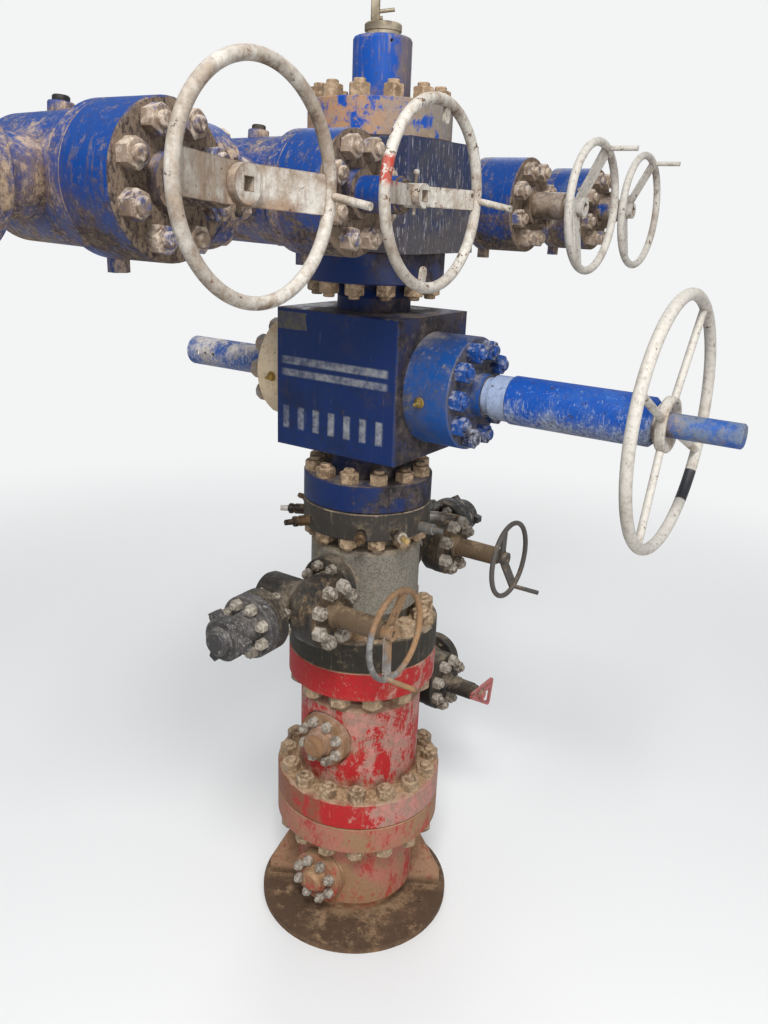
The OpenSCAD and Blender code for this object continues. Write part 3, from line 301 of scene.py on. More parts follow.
def head_bands(shop):
    """Pink and tan casing head with red runs left on it."""
    drawn = shop.cloud(1.0, 9, 0.78, stretch=(10, 10, 4.0)) * 0.75 + shop.cloud(46, 6, 0.8) * 0.25
    red = shop.step(drawn, 0.51, 0.57)
    tan = shop.step(shop.cloud(5, 7, 0.7), 0.40, 0.56)
    body = shop.mix(tan, paint_rgb(168, 106, 90), paint_rgb(150, 116, 86))
    return shop.mix(red * 0.85, body, paint_rgb(166, 44, 42))


def plate_bands(shop):
    """Wet dark plate, with gussets that kept tan mud and a little red."""
    high = shop.step(shop.z, 0.036, 0.075)
    red = shop.step(shop.cloud(24, 7, 0.76), 0.56, 0.62)
    gusset = shop.mix(red * 0.7, paint_rgb(168, 130, 102), paint_rgb(156, 62, 54))
    return shop.mix(high, paint_rgb(88, 68, 52), gusset)


def valve_zones(shop):
    """Near black castings whose stem tube has gone tan."""
    tube = shop.step(shop.x, 0.168, 0.178)
    return shop.mix(tube, near_black, paint_rgb(98, 80, 60))


def screw_zones(shop, steel):
    """Lockdown screws changed one by one: a black sleeve with a bright tip, a pale one and grey ones."""
    reach = (shop.x * shop.x + shop.y * shop.y) ** 0.5
    third = shop.within(shop.y, -0.19, -0.09)
    tip = shop.step(reach, 0.302, 0.304)
    sleeve = shop.mix(tip, paint_rgb(30, 28, 28), paint_rgb(206, 200, 190))
    colour = shop.mix(third * (1 - shop.step(shop.x, -0.18, -0.17)), steel, sleeve)
    pale = shop.mix(tip, paint_rgb(204, 190, 172), paint_rgb(190, 160, 104))
    colour = shop.mix(third * shop.step(shop.x, 0.17, 0.18), colour, pale)
    grey_side_share = shop.step(shop.y, -0.06, -0.05) * shop.step(shop.x, 0.0, 0.01)
    return shop.mix(grey_side_share, colour, paint_rgb(112, 110, 106))


def bonnet_nut_zones(shop, steel):
    """The front bonnet's nuts are painted, and the back bonnet's are bare and dusty."""
    return shop.mix(shop.step(shop.x, -0.1, 0.1), paint_rgb(150, 130, 106), steel)


def taped_rim(shop, colour, middle):
    """Black tape round the master wheel's rim, and the blue cover of the stem."""
    y, z = shop.y, shop.z - stem_z
    reach = (y * y + z * z) ** 0.5
    tape = shop.within(z / shop.math("MAXIMUM", y, 0.01), -1.24, -0.66, 0.012)
    tape = tape * shop.step(reach, 0.355, 0.36) * shop.step(y, 0.1, 0.11)
    colour = shop.mix(tape, colour, paint_rgb(48, 50, 56))
    cover_share = 1 - shop.step(reach, stem_cover_r + 0.002, stem_cover_r + 0.003)
    cover_share = cover_share * shop.step(shop.x, stem_cover_x, stem_cover_x + 0.002)
    cover_blue = shop.mix(shop.step(middle, 0.40, 0.56), paint_rgb(34, 84, 160), paint_rgb(104, 118, 142))
    return shop.mix(cover_share, colour, cover_blue)


def red_scuffs(shop, colour, middle):
    near = shop.within(shop.z, wing_z + 0.02, wing_z + 0.085, 0.01) * (1 - shop.step(shop.y, -0.70, -0.68))
    return shop.mix(near * shop.step(middle, 0.47, 0.50), colour, paint_rgb(176, 58, 46))


def grey_side(shop, colour, middle):
    """The front wheel's lower left half is bluish grey where the rest is tan."""
    lower_left = (tubing_outlet_z - shop.z) - (shop.y + tubing_valve_y) * 1.2 + (middle - 0.5) * 0.5
    patchy = shop.mix(shop.step(middle, 0.42, 0.58), paint_rgb(98, 102, 104), paint_rgb(142, 144, 144))
    on_rim = 1 - shop.step(shop.x, 0.424, 0.428)
    return shop.mix(shop.step(lower_left, 0.02, 0.14) * on_rim * 0.9, colour, patchy)


def cap_side(shop, colour, middle):
    """Tan film over most of the top flange and down the side of the cap that faces away from the wash."""
    high = shop.step(shop.z, cap_z + 0.118, cap_z + 0.13)
    away = shop.step(shop.x * 0.8 + shop.y * 0.9 + (middle - 0.5) * 0.2, 0.005, 0.06) * high
    film = shop.step(middle * 0.5 + shop.cloud(9, 8, 0.76) * 0.5, 0.45, 0.50) * (1 - high)
    warm = shop.step(middle * 0.4 - shop.x * 0.84 - shop.y * 0.54, 0.0, 0.34)
    tan = shop.mix(warm, paint_rgb(136, 126, 112), paint_rgb(178, 134, 94))
    tan = shop.mix(shop.step(shop.cloud(44, 6, 0.76), 0.50, 0.60) * 0.6, tan, paint_rgb(150, 138, 132))
    colour = shop.mix(film * 0.96, colour, tan)
    return shop.mix(away * 0.8, colour, paint_rgb(112, 98, 86))


def cross_grime(shop, colour, middle):
    """Grey grime over the lower half of the cross."""
    share = shop.step((wing_z - shop.z) * 1.6 + middle * 0.9 + shop.cloud(8, 7, 0.72) * 0.5, 0.62, 0.86)
    return shop.mix(share * 0.8, colour, paint_rgb(82, 76, 76))


def tan_barrels(shop, colour, middle):
    """The two bonnets on the +Y side have stem barrels that went tan."""
    share = shop.step(shop.x, 0.30, 0.315) * shop.step(shop.y, 0.1, 0.2) * shop.step(middle, 0.34, 0.44)
    tan = shop.mix(shop.step(shop.cloud(52, 6, 0.76), 0.44, 0.58), paint_rgb(134, 116, 98),
                   paint_rgb(164, 148, 130))
    return shop.mix(share * 0.92, colour, tan)


def tail_inside_painted_shade(shop, colour, middle):
    """The tail tube's inside near its open end is dark, as painted shade."""
    reach = (shop.y * shop.y + (shop.z - stem_z) * (shop.z - stem_z)) ** 0.5
    inside = 1 - shop.step(reach, tail_tube_r - 0.003, tail_tube_r - 0.001)
    inside = inside * shop.step(shop.x, tail_end_x + 0.002, tail_end_x + 0.004)
    # The tube's inside near its open end is painted near black: painted shade.
    return shop.mix(inside * (1 - shop.step(shop.x, -0.70, -0.69)) * 0.95, colour, paint_rgb(20, 20, 24))


def stained_bars(shop, colour, middle):
    """Brown stains along the lower edges of the wheels' bars, and rust runs down them."""
    on_bar = 1 - shop.step(shop.x, wing_rim_x - 0.022, wing_rim_x - 0.012)
    edge = shop.step(wing_z - shop.z + (middle - 0.5) * 0.10, 0.012, 0.042)
    runs = shop.step(shop.cloud(1.0, 5, 0.7, stretch=(40, 40, 4)), 0.50, 0.60) * 0.5
    share = shop.math("MAXIMUM", edge * 0.8, runs) * on_bar
    return shop.mix(share, colour, shop.mix(shop.step(middle, 0.42, 0.56), paint_rgb(112, 78, 52),
                                            paint_rgb(150, 118, 92)))


def pale_root(shop, colour, middle):
    """The stem housing starts in a whitish blue ring by the bonnet."""
    return shop.mix((1 - shop.step(shop.x, 0.565, 0.57)) * shop.step(middle, 0.34, 0.44), colour,
                    paint_rgb(150, 164, 192))


brown_mud = dict(mud=paint_rgb(118, 96, 76), mud_light=paint_rgb(186, 162, 136),
                 mud_dark=paint_rgb(56, 44, 34))
blue_wing = worn_paint("royal_blue_under_mud", royal, grey_blue, fade=0.45, film=0.42, splash=0.46,
                       chips=0.2, streaks=0.46, low_mud=0.9, front_mud_and_shade=0.5, haze=0.5, top_dust=0.9,
                       drips=0.16, **brown_mud)
blue_bonnet = worn_paint("royal_blue_bonnets", royal, chalk_blue, fade=0.34, film=0.40, splash=0.40,
                         chips=0.22, streaks=0.46, low_mud=1.0, front_mud_and_shade=1.9, haze=0.45, top_dust=-0.1,
                         mud=paint_rgb(88, 71, 57), mud_light=paint_rgb(150, 130, 108),
                         mud_dark=paint_rgb(56, 45, 37), markings=tan_barrels)
blue_cross = worn_paint("slate_blue_with_runs", paint_rgb(34, 46, 80), paint_rgb(58, 60, 74), fade=0.5,
                        film=0.30, splash=0.26, chips=0.2, streaks=0.36, haze=0.5, drips=0.24,
                        mud=paint_rgb(84, 76, 72), mud_light=paint_rgb(168, 166, 170),
                        mud_dark=paint_rgb(40, 38, 42), markings=cross_grime)
# The master block has the same royal blue paint as the wings, made much darker here as painted shade.
shaded_master_blue = worn_paint("navy_block_painted_shade", paint_rgb(3, 36, 90), paint_rgb(6, 26, 62), fade=0.46, film=0.18,
                        splash=0.16, chips=0.2, wear=1.0, streaks=0.24, haze=0.2, front_mud_and_shade=1.5,
                        markings=stencil_bars, top_dust=2.2, mud=paint_rgb(74, 64, 60),
                        mud_light=paint_rgb(124, 112, 102), mud_dark=paint_rgb(38, 34, 34))
blue_cap = worn_paint("blue_cap_with_tan_film", clear_blue, chalk_blue, fade=0.34, film=0.30, splash=0.26,
                      chips=0.2, streaks=0.4, mud=paint_rgb(140, 118, 98),
                      mud_light=paint_rgb(170, 150, 126), top_dust=1.0, markings=cap_side)
azure_bonnet = worn_paint("azure_bonnet", paint_rgb(8, 74, 146), paint_rgb(58, 84, 118), fade=0.46,
                          film=0.26, splash=0.24, chips=0.2, streaks=0.36, haze=0.5, front_mud_and_shade=0.8,
                          mud=paint_rgb(92, 84, 76), mud_light=paint_rgb(150, 142, 136),
                          mud_dark=paint_rgb(50, 44, 42))
azure_housing = worn_paint("azure_housing_splashed", clear_blue, paint_rgb(44, 92, 168), fade=0.4, film=0.2,
                           splash=0.42, chips=0.34, streaks=0.4, haze=0.34, drips=0.14,
                           mud=paint_rgb(112, 118, 136), mud_light=paint_rgb(170, 180, 198),
                           mud_dark=paint_rgb(64, 60, 62), low_mud=1.4, top_dust=-0.6, markings=pale_root)
blue_tail = worn_paint("blue_tail_tube", paint_rgb(34, 78, 148), paint_rgb(140, 144, 164), fade=0.56,
                       film=0.44, splash=0.5, chips=0.28, mud=paint_rgb(150, 138, 130),
                       mud_light=paint_rgb(206, 198, 192), markings=tail_inside_painted_shade)
wheel_grime = dict(mud=paint_rgb(128, 108, 90), mud_light=paint_rgb(176, 158, 138),
                   mud_dark=paint_rgb(78, 62, 50))
white_wheel = worn_paint("white_wheel_grimy", off_white, stained_white, fade=0.56, film=0.44, splash=0.24,
                         chips=0.34, streaks=0.46, wear=0.9, drips=0.2, under=chip_brown, rough=0.44,
                         low_mud=0.5, haze=0.45, markings=stained_bars, **wheel_grime)
white_red = worn_paint("white_wheel_red_scuffs", off_white, stained_white, fade=0.54, film=0.42,
                       splash=0.24, chips=0.42, streaks=0.44, wear=0.9, drips=0.2, under=chip_brown,
                       rough=0.44, low_mud=0.5, haze=0.45, markings=red_scuffs, **wheel_grime)
white_far = worn_paint("white_wheel_cleaner", off_white, stained_white, fade=0.42, film=0.28, splash=0.16,
                       chips=0.34, streaks=0.30, under=chip_brown, rough=0.44, low_mud=0.6, haze=0.35,
                       **wheel_grime)
white_master = worn_paint("white_master_wheel", off_white, paint_rgb(176, 162, 144), fade=0.42, film=0.26,
                          splash=0.18, chips=0.34, streaks=0.30, under=chip_brown, markings=taped_rim,
                          rough=0.42, low_mud=0.6, haze=0.3, **wheel_grime)
# Muddy cream paint, set lighter than its own colour to offset the shade it sits in: painted light.
muddy_white_painted_light = worn_paint("muddy_white_bonnet", paint_rgb(226, 204, 172), paint_rgb(206, 172, 136),
                         fade=0.45, film=0.32, splash=0.4, chips=0.26, under=rust_orange, rough=0.6,
                         mud=paint_rgb(184, 150, 116), mud_light=paint_rgb(222, 196, 164),
                         mud_dark=paint_rgb(126, 100, 76))
red_spool = worn_paint("red_spool", spool_bands, pink, fade=0.16, film=0.26, splash=0.3, chips=0.24,
                       streaks=0.26, haze=0.3, mud=paint_rgb(140, 104, 78),
                       mud_light=paint_rgb(184, 156, 130), mud_dark=paint_rgb(84, 54, 40), top_dust=2.0,
                       rough=0.5)
red_head = worn_paint("pink_casing_head", head_bands, pink, fade=0.2, film=0.36, splash=0.3, chips=0.26,
                      streaks=0.3, haze=0.35, mud=paint_rgb(144, 106, 76),
                      mud_light=paint_rgb(180, 148, 114), mud_dark=paint_rgb(90, 60, 42), top_dust=1.5,
                      rough=0.56)
faded_red = worn_paint("faded_red_handle", paint_rgb(178, 92, 90), paint_rgb(176, 128, 120), fade=0.5,
                       film=0.34, splash=0.36, chips=0.34, mud=paint_rgb(132, 108, 98))
grey_head = worn_paint("weathered_grey_head", tubing_head_bands, paint_rgb(88, 84, 74), fade=0.26,
                       film=0.24, splash=0.26, chips=0.2, streaks=0.34, rough=0.6,
                       mud=paint_rgb(112, 98, 80), top_dust=1.6)
rust_flange = worn_paint("rusty_flange", paint_rgb(136, 102, 72), paint_rgb(98, 72, 54), fade=0.42,
                         film=0.34, splash=0.34, chips=0.26, rough=0.7, mud=paint_rgb(164, 132, 104),
                         mud_light=paint_rgb(190, 158, 142))
rusty_base = worn_paint("rusty_base_plate", plate_bands, rust_brown, fade=0.3, film=0.36, splash=0.26,
                        chips=0.34, rough=0.74, mud=paint_rgb(124, 96, 72),
                        mud_light=paint_rgb(158, 130, 100))
dark_valve = worn_paint("near_black_valve", near_black, paint_rgb(58, 54, 50), fade=0.42, film=0.24,
                        splash=0.26, chips=0.22, rough=0.46, mud=paint_rgb(88, 76, 62),
                        mud_light=paint_rgb(140, 126, 108), mud_dark=paint_rgb(44, 38, 34), haze=0.36,
                        top_dust=1.6)
tan_tube = worn_paint("dusty_valve_bonnet", valve_zones, paint_rgb(84, 70, 54), fade=0.42, film=0.34,
                      splash=0.3, chips=0.26, rough=0.56, mud=paint_rgb(112, 92, 70),
                      mud_light=paint_rgb(152, 130, 102), top_dust=1.4)
grey_valve = worn_paint("grey_muddy_valve", paint_rgb(58, 56, 56), near_black, fade=0.45, film=0.3,
                        splash=0.34, chips=0.46, wear=1.5, under=paint_rgb(166, 162, 158), drips=0.2,
                        rough=0.5, streaks=0.4, haze=0.4, mud=paint_rgb(96, 90, 86),
                        mud_light=paint_rgb(158, 152, 146), mud_dark=paint_rgb(44, 42, 42))
tan_wheel = worn_paint("tan_rusted_wheel", paint_rgb(156, 120, 86), paint_rgb(104, 78, 56), fade=0.5,
                       film=0.3, splash=0.24, chips=0.36, rough=0.56, markings=grey_side)
grey_wheel = worn_paint("grey_worn_wheel", paint_rgb(84, 80, 76), paint_rgb(56, 50, 46), fade=0.45,
                        film=0.3, splash=0.3, chips=0.36, rough=0.5)
stack_studs = dusty_steel("tan_studs", paint_rgb(150, 126, 100), paint_rgb(196, 170, 140),
                          paint_rgb(112, 90, 68), 0.54)
blue_studs = dusty_steel("blue_splashed_nuts", paint_rgb(160, 140, 122), paint_rgb(206, 190, 172),
                         paint_rgb(94, 74, 58), 0.5, tint=paint_rgb(84, 96, 142), tint_share=0.44)
master_studs = dusty_steel("blue_white_nuts", paint_rgb(20, 72, 146), paint_rgb(164, 164, 176),
                           paint_rgb(44, 42, 48), 0.44, tint=paint_rgb(170, 172, 190), tint_share=0.4,
                           zones=bonnet_nut_zones)
outlet_studs = dusty_steel("grey_brown_nuts", paint_rgb(150, 140, 128), paint_rgb(194, 184, 170),
                           paint_rgb(106, 92, 78), 0.52)
bare_fitting = dusty_steel("bare_steel_fitting", paint_rgb(168, 156, 136), paint_rgb(182, 166, 140),
                           paint_rgb(110, 98, 80), 0.4, metal=0.45)
lockdown_steel = dusty_steel("lockdown_screws", paint_rgb(92, 70, 48), paint_rgb(140, 116, 88),
                             paint_rgb(50, 42, 36), 0.3, metal=0.35, zones=screw_zones)

finish_of = {
    "base_plate": rusty_base, "casing_head": red_head, "casing_head_flanges": red_head,
    "casing_joint_studs": stack_studs, "casing_spool": red_spool, "spool_front_flange": rust_flange,
    "spool_valve_body": dark_valve, "spool_valve_bonnet": dark_valve, "spool_valve_wheel": faded_red,
    "spool_joint_studs": stack_studs, "tubing_head": grey_head, "lockdown_screws": lockdown_steel,
    "front_valve_body": dark_valve, "front_valve_bonnet": tan_tube, "front_valve_wheel": tan_wheel,
    "front_valve_end": grey_valve, "back_valve_body": dark_valve, "back_valve_bonnet": tan_tube,
    "back_valve_wheel": grey_wheel, "back_valve_end": grey_valve, "outlet_studs": outlet_studs,
    "tubing_joint_studs": stack_studs, "master_valve_body": shaded_master_blue, "master_bonnet": azure_bonnet,
    "master_stem_housing": azure_housing, "master_back_bonnet": muddy_white_painted_light, "master_tail_tube": blue_tail,
    "master_bonnet_studs": master_studs, "master_wheel": white_master, "cross_joint_studs": stack_studs,
    "cross_block": blue_cross, "top_flange_cap": blue_cap, "top_flange_studs": stack_studs,
    "needle_valve": bare_fitting, "left_outer_body": blue_wing, "left_inner_body": blue_wing,
    "right_inner_body": blue_wing, "right_outer_body": blue_wing, "wing_bonnets": blue_bonnet,
    "wing_studs": blue_studs, "left_outer_wheel": white_wheel, "left_inner_wheel": white_red,
    "right_inner_wheel": white_far, "right_outer_wheel": white_far}
for name, material in finish_of.items():
    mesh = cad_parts[name].data
    mesh.materials.clear()
    mesh.materials.append(material)


# Small pieces

def piece(name, shape, material, body):
    """Makes a finished piece of a bmesh and lets it ride on a body."""
    bmesh.ops.recalc_face_normals(shape, faces=shape.faces)
    mesh = bpy.data.meshes.new(name)
    shape.to_mesh(mesh)
    shape.free()
    mesh.materials.append(material)
    made = bpy.data.objects.new(name, mesh)
    bpy.context.scene.collection.objects.link(made)
    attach(made, body)
    return made


def turned(profile, segments):
    """A turned shape from (radius, height) points, open only where the first or last radius isn't 0."""
    shape = bmesh.new()
    line = [shape.verts.new((r, 0, h)) for r, h in profile]
    edges = [shape.edges.new(pair) for pair in zip(line, line[1:])]
    bmesh.ops.spin(shape, geom=line + edges, cent=(0, 0, 0), axis=(0, 0, 1), dvec=(0, 0, 0), angle=tau,
                   steps=segments, use_merge=True, use_duplicate=False)
    bmesh.ops.remove_doubles(shape, verts=shape.verts, dist=1e-6)
    for face in shape.faces:
        face.smooth = True
    return shape


def add(whole, part, matrix):
    """Puts a copy of the mesh part into the bmesh whole."""
    start = len(whole.verts)
    whole.from_mesh(part)
    whole.verts.ensure_lookup_table()
    bmesh.ops.transform(whole, matrix=matrix, verts=whole.verts[start:])


def as_mesh(shape):
    mesh = bpy.data.meshes.new("pattern")
    shape.to_mesh(mesh)
    shape.free()
    return mesh


def facing(x, y, z, direction):
    """A matrix that puts a shape's origin at x, y, z and its +Z along direction."""
    return Matrix.Translation((x, y, z)) @ Vector(direction).to_track_quat("Z", "Y").to_matrix().to_4x4()


def stud_end(stud, segments):
    """Threads and the worn end of one stud, from its nut's top at 0 up, a little proud of the solid."""
    r, pitch, crest = stud / 2, 0.0032, 0.0009
    profile = [(r + 0.0001, 0.0)]
    height = 0.0006
    while height + pitch < stud_stick - 0.0012:
        profile += [(r + crest, height + pitch * 0.4), (r + crest, height + pitch * 0.6),
                    (r + 0.0001, height + pitch)]
        height += pitch
    top = stud_stick
    profile += [(r - 0.0012, top - 0.0003), (r - 0.0024, top + 0.0007), (r * 0.55, top + 0.0009),
                (r * 0.46, top + 0.0003), (0.0, top + 0.0003)]
    return as_mesh(turned(profile, segments))


down, up_way = Matrix.Rotation(math.pi, 4, "X"), Matrix.Identity(4)
to_x, to_minus_x = Matrix.Rotation(tau / 4, 4, "Y"), Matrix.Rotation(-tau / 4, 4, "Y")
to_y, to_minus_y = Matrix.Rotation(-tau / 4, 4, "X"), Matrix.Rotation(tau / 4, 4, "X")

# Stud rings as (place, turn, bolt circle, stud, count, flange thickness, both ends)
stack_rings = [((0, 0, casing_z), up_way, 0.5905, 0.0413, 16, 0.1128, True),
               ((0, 0, tubing_z), up_way, 0.4826, 0.0476, 12, 0.119, True),
               ((0, 0, master_z), up_way, 0.4032, 0.0381, 12, 0.103, True),
               ((0, 0, cross_z), down, 0.4032, 0.0381, 12, 0.103, False),
               ((0, 0, cap_z), up_way, 0.4032, 0.0381, 12, 0.114, False)]
bonnet_rings = [((master_face_x, 0, stem_z), to_x, 0.300, 0.0381, 10, 0.170, False),
                ((-master_face_x, 0, stem_z), to_minus_x, 0.300, 0.0381, 10, 0.128, False)]
wing_rings = [((0, side * cross_half, wing_z), turn, 0.2588, 0.0286, 8, 0.0704, False)
              for side, turn in ((1, to_y), (-1, to_minus_y))]
wing_rings += [((0, side * (inner_y + wing_half), wing_z), to_y, 0.2588, 0.0286, 8, 0.0704, True)
               for side in (1, -1)]
wing_rings += [((wing_joint_x, y, wing_z), to_x, 0.250, 0.0349, 8, 0.150, False)
               for y in (-outer_y, -inner_y, inner_y, outer_y)]
outlet_rings = [((0, side * seat, z), turn, 0.1651, 0.0222, 8, 0.046, False)
                for seat, z in ((head_seat, head_outlet_z), (spool_seat, spool_outlet_z),
                                (tubing_seat, tubing_outlet_z))
                for side, turn in ((1, to_y), (-1, to_minus_y))]
outlet_rings += [((0, side * (tubing_valve_y + outlet_half), tubing_outlet_z), to_y, 0.1651, 0.0222, 8, 0.046,
                  True) for side in (1, -1)]
outlet_rings += [((outlet_joint_x, y, z), to_x, 0.196, 0.0286, 8, 0.050, False)
                 for y, z in ((spool_valve_y, spool_outlet_z), (tubing_valve_y, tubing_outlet_z),
                              (-tubing_valve_y, tubing_outlet_z))]


def thread_piece(name, rings, segments, material):
    """The threads and ends of all studs in some rings, as one piece."""
    whole = bmesh.new()
    for place, turn, circle, stud, count, thick, both in rings:
        part = stud_end(stud, segments)
        nut_top = thick + stud
        for i in range(count):
            spin = Matrix.Rotation((i + 0.5) * tau / count, 4, "Z")
            for flip in ((up_way, down) if both else (up_way,)):
                at_stud = turn @ spin @ Matrix.Translation((circle / 2, 0, 0)) @ flip
                add(whole, part, Matrix.Translation(place) @ at_stud @ Matrix.Translation((0, 0, nut_top)))
    return piece(name, whole, material, "stack")


thread_piece("stack_stud_threads", stack_rings, 20, stack_studs)
thread_piece("bonnet_stud_threads", bonnet_rings, 20, master_studs)
thread_piece("wing_stud_threads", wing_rings, 20, blue_studs)
thread_piece("outlet_stud_threads", outlet_rings, 16, outlet_studs)

# Grease fittings on the bonnets and on top of the wing valves
nipple = as_mesh(turned([(0.0, -0.004), (0.0135, -0.004), (0.0135, 0.010), (0.0118, 0.012), (0.0075, 0.012),
                         (0.0066, 0.020), (0.0050, 0.0215), (0.0050, 0.0245), (0.0066, 0.027),
                         (0.0062, 0.031), (0.0035, 0.034), (0.0, 0.0342)], 24))
seat_ring = as_mesh(turned([(0.0, -0.003), (0.0185, -0.003), (0.0185, 0.001), (0.017, 0.003), (0.014, 0.0032),
                            (0.0, 0.0032)], 32))
fittings = bmesh.new()
for x, lean in ((0.32, 185.4), (-0.31, 184.0)):
    way = Vector((0, math.cos(math.radians(lean)), math.sin(math.radians(lean))))
    spot = way * bonnet_disc_r + Vector((x, 0, stem_z))
    add(fittings, nipple, facing(*spot, way))
    add(fittings, seat_ring, facing(*spot, way))
brass = dusty_steel("brass_fittings", paint_rgb(164, 130, 62), paint_rgb(150, 146, 92),
                    paint_rgb(96, 70, 36), 0.4, metal=0.4)
piece("bonnet_grease_fittings", fittings, brass, "stack")

boss = as_mesh(turned([(0.030, -0.03), (0.030, 0.014), (0.028, 0.017), (0.0, 0.017)], 32))
black_cap = as_mesh(turned([(0.0, 0.016), (0.019, 0.016), (0.020, 0.018), (0.020, 0.028), (0.017, 0.031),
                            (0.0, 0.031)], 28))
bosses, caps = bmesh.new(), bmesh.new()
for y in (-outer_y, -inner_y, inner_y, outer_y):
    at = facing(-0.055, y + 0.015, wing_z + 0.148, (0, 0.1, 1))
    add(bosses, boss, at)
    add(caps, black_cap, at)
piece("wing_fitting_bosses", bosses, blue_wing, "stack")
rubber = worn_paint("black_fitting_caps", paint_rgb(34, 33, 32), paint_rgb(58, 55, 50), film=0.2,
                    splash=0.2, chips=0.0, wear=0.0, rough=0.5)
piece("wing_fitting_caps", caps, rubber, "stack")

# Pins through the wing wheels' hubs, and two ears on the left inner wheel's rim
pin = as_mesh(turned([(0.0, -0.048), (0.0042, -0.048), (0.0045, -0.044), (0.0045, 0.052), (0.0080, 0.053),
                      (0.0080, 0.060), (0.0055, 0.064), (0.0, 0.065)], 16))
wing_wheels = (("left_outer_wheel", -outer_y, wing_rim_x), ("left_inner_wheel", -inner_y, wing_rim_x),
               ("right_inner_wheel", inner_y, wing_rim_x), ("right_outer_wheel", outer_y, right_outer_rim_x))
pin_finish = {"left_outer_wheel": rubber, "left_inner_wheel": white_red, "right_inner_wheel": white_far,
              "right_outer_wheel": white_far}
for name, y, rim_x in wing_wheels:
    shape = bmesh.new()
    add(shape, pin, facing(rim_x - 0.058, y, wing_z, (0, 0.05, -1 if name == "left_outer_wheel" else 1)))
    piece(name + "_hub_pin", shape, pin_finish[name], name + "_turning")

ears = bmesh.new()
for lean in (11.5, 190.8):
    ear = bmesh.new()
    bmesh.ops.create_circle(ear, cap_ends=True, radius=0.014, segments=20)
    for vert in ear.verts:
        if vert.co.y > 0:
            vert.co.y += 0.016
    grown = bmesh.ops.extrude_face_region(ear, geom=ear.faces[:])
    lifted = [v for v in grown["geom"] if isinstance(v, bmesh.types.BMVert)]
    bmesh.ops.translate(ear, verts=lifted, vec=(0, 0, 0.010))
    edges = [e for e in ear.edges if e.is_manifold and e.calc_face_angle(0) > 0.8]
    bmesh.ops.bevel(ear, geom=edges, offset=0.002, offset_type="OFFSET", segments=2, profile=0.5,
                    affect="EDGES", material=-1)
    on_rim = Matrix(((0, 0, 1, -0.005), (1, 0, 0, 0), (0, 1, 0, 0.190), (0, 0, 0, 1)))
    turn = Matrix.Rotation(-math.radians(lean), 4, "X") @ on_rim
    add(ears, as_mesh(ear), Matrix.Translation((wing_rim_x, -inner_y, wing_z)) @ turn)
piece("left_inner_wheel_ears", ears, white_red, "left_inner_wheel_turning")

# Dried earth heaped on the flanges' upper faces, round the nuts

def mud_bank(name, z, inner, outer, height, seed, material):
    """A low uneven bank of earth on a flange's upper face."""
    shape = bmesh.new()
    rings, steps = 9, 150
    rows = []
    for i in range(rings + 1):
        r = inner + (outer - inner) * i / rings
        row = []
        for j in range(steps):
            a = tau * j / steps
            x, y = r * math.cos(a), r * math.sin(a)
            swell = noise.fractal(Vector((x * 9 + seed, y * 9, seed)), 0.9, 2.0, 5)
            slope = 1 - (i / rings) ** 1.6
            rise = max(0.0, height * (slope + swell * 0.55 - 0.25))
            row.append(shape.verts.new((x, y, z - 0.002 + rise)))
        rows.append(row)
    for low, high in zip(rows, rows[1:]):
        for j in range(steps):
            k = (j + 1) % steps
            shape.faces.new((low[j], high[j], high[k], low[k]))
    under = bmesh.ops.extrude_face_region(shape, geom=shape.faces[:])
    moved = [v for v in under["geom"] if isinstance(v, bmesh.types.BMVert)]
    for vert in moved:
        vert.co.z = z - 0.006
    for face in shape.faces:
        face.smooth = True
    return piece(name, shape, material, "stack")


def dry_earth():
    shop = PaintShop("dried_earth")
    lumps, grit = shop.cloud(60, 7, 0.75), shop.cloud(320, 3, 0.7)
    colour = shop.mix(shop.step(lumps, 0.36, 0.64), paint_rgb(142, 112, 82), paint_rgb(190, 162, 128))
    colour = shop.mix(shop.step(grit, 0.56, 0.64) * 0.5, colour, paint_rgb(100, 76, 54))
    return shop.finish(colour, 0.92 + lumps * 0.05, 0.0, lumps * 0.8 + grit * 0.5, 0.004)


earth = dry_earth()
mud_bank("earth_on_casing_flange", casing_z + 0.1128, 0.244, 0.330, 0.016, 3.0, earth)
mud_bank("earth_on_spool_flange", tubing_z + 0.119, 0.176, 0.284, 0.014, 8.0, earth)

# Floor, light and camera

def stage_finish():
    shop = PaintShop("pale_floor")
    path = shop.node("ShaderNodeLightPath")
    seen = shop.math("MAXIMUM", Amount(shop, path.outputs["Is Camera Ray"]),
                     Amount(shop, path.outputs["Is Glossy Ray"]))
    tone = shop.mix(seen, (0.5, 0.49, 0.47, 1), (0.86, 0.855, 0.845, 1))
    distance = (shop.x * shop.x + shop.y * shop.y) ** 0.5
    return shop.finish(tone, 0.9, 0.0, shop.cloud(3), 0.0, alpha=1 - shop.step(distance, 2.4, 7.5))


floor_shape = bmesh.new()
bmesh.ops.create_grid(floor_shape, x_segments=1, y_segments=1, size=30)
floor_mesh = bpy.data.meshes.new("floor")
floor_shape.to_mesh(floor_mesh)
floor_shape.free()
floor_mesh.materials.append(stage_finish())
floor = bpy.data.objects.new("floor", floor_mesh)
bpy.context.scene.collection.objects.link(floor)

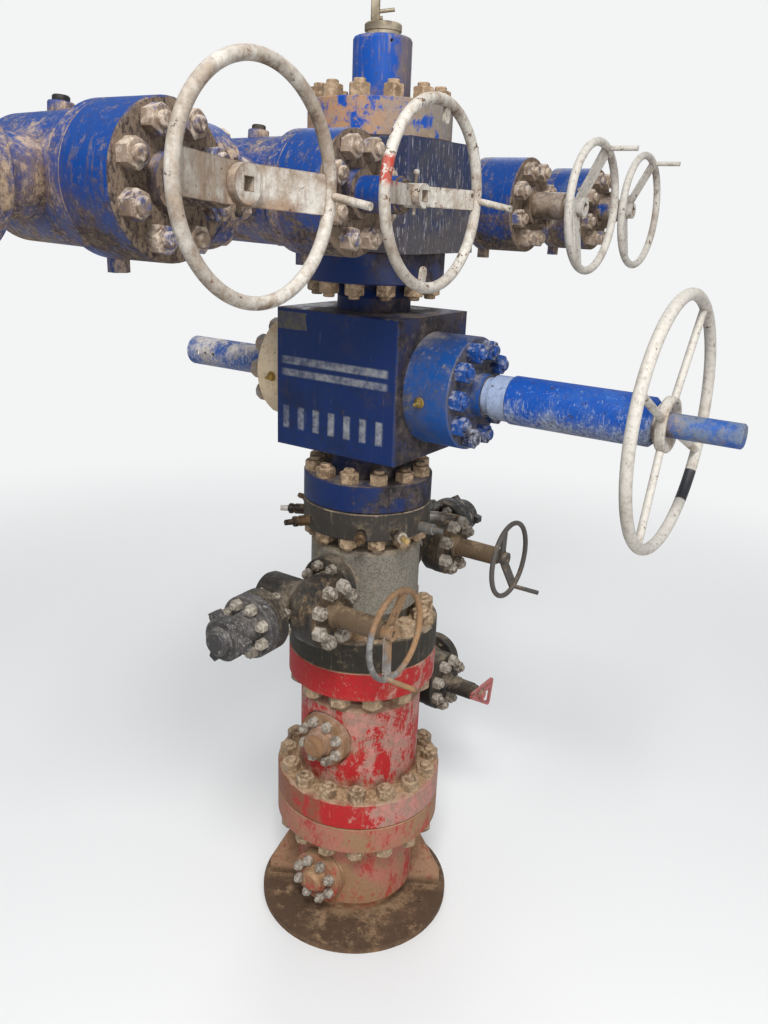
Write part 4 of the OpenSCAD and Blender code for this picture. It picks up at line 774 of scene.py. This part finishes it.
world = bpy.data.worlds.new("soft_studio")
bpy.context.scene.world = world
world.use_nodes = True
sky = world.node_tree
sky.nodes.clear()
background = sky.nodes.new("ShaderNodeBackground")
shade = sky.nodes.new("ShaderNodeMix")
shade.data_type = "RGBA"
rays = sky.nodes.new("ShaderNodeLightPath")
widest = sky.nodes.new("ShaderNodeMath")
widest.operation = "MAXIMUM"
out = sky.nodes.new("ShaderNodeOutputWorld")
shade.inputs[6].default_value = (0.44, 0.46, 0.48, 1)
shade.inputs[7].default_value = (0.90, 0.905, 0.91, 1)
sky.links.new(rays.outputs["Is Camera Ray"], widest.inputs[0])
sky.links.new(rays.outputs["Is Transmission Ray"], widest.inputs[1])
sky.links.new(widest.outputs[0], shade.inputs[0])
sky.links.new(shade.outputs[2], background.inputs["Color"])
sky.links.new(background.outputs[0], out.inputs["Surface"])


def soft_box(name, place, target, size, power):
    lamp = bpy.data.lights.new(name, "AREA")
    lamp.shape, lamp.size, lamp.size_y, lamp.energy = "RECTANGLE", size[0], size[1], power
    held = bpy.data.objects.new(name, lamp)
    bpy.context.scene.collection.objects.link(held)
    held.matrix_world = facing(*place, Vector(place) - Vector(target))


soft_box("key", (2.6, -4.2, 7.0), (0, 0, 1.9), (1.8, 1.8), 400)
soft_box("fill", (4.6, -3.2, 2.4), (0, 0, 1.4), (3.0, 3.0), 90)
soft_box("back_light", (-2.6, 4.4, 5.0), (0, 0, 1.9), (3.0, 3.0), 90)

# The camera that was solved on the photograph, in the frame's metres
pitch, roll, yaw = (math.radians(a) for a in (18.978, 2.331, -33.010))
forward = Vector((math.sin(yaw) * math.cos(pitch), math.cos(yaw) * math.cos(pitch), -math.sin(pitch)))
level = Vector((math.cos(yaw), -math.sin(yaw), 0))
above = level.cross(forward)
right = math.cos(roll) * level + math.sin(roll) * above
top = -math.sin(roll) * level + math.cos(roll) * above
lens = bpy.data.cameras.new("camera")
focal_pixels, photo_height, sensor_height = 874.09, 1024, 36
lens.sensor_fit, lens.sensor_height = "VERTICAL", sensor_height
lens.lens = focal_pixels * sensor_height / photo_height
camera = bpy.data.objects.new("camera", lens)
bpy.context.scene.collection.objects.link(camera)
turn = Matrix((right, top, -forward)).transposed().to_4x4()
camera.matrix_world = Matrix.Translation((1.7710, -2.6064, 2.8325)) @ turn
bpy.context.scene.camera = camera
bpy.context.scene.view_settings.view_transform = "Standard"
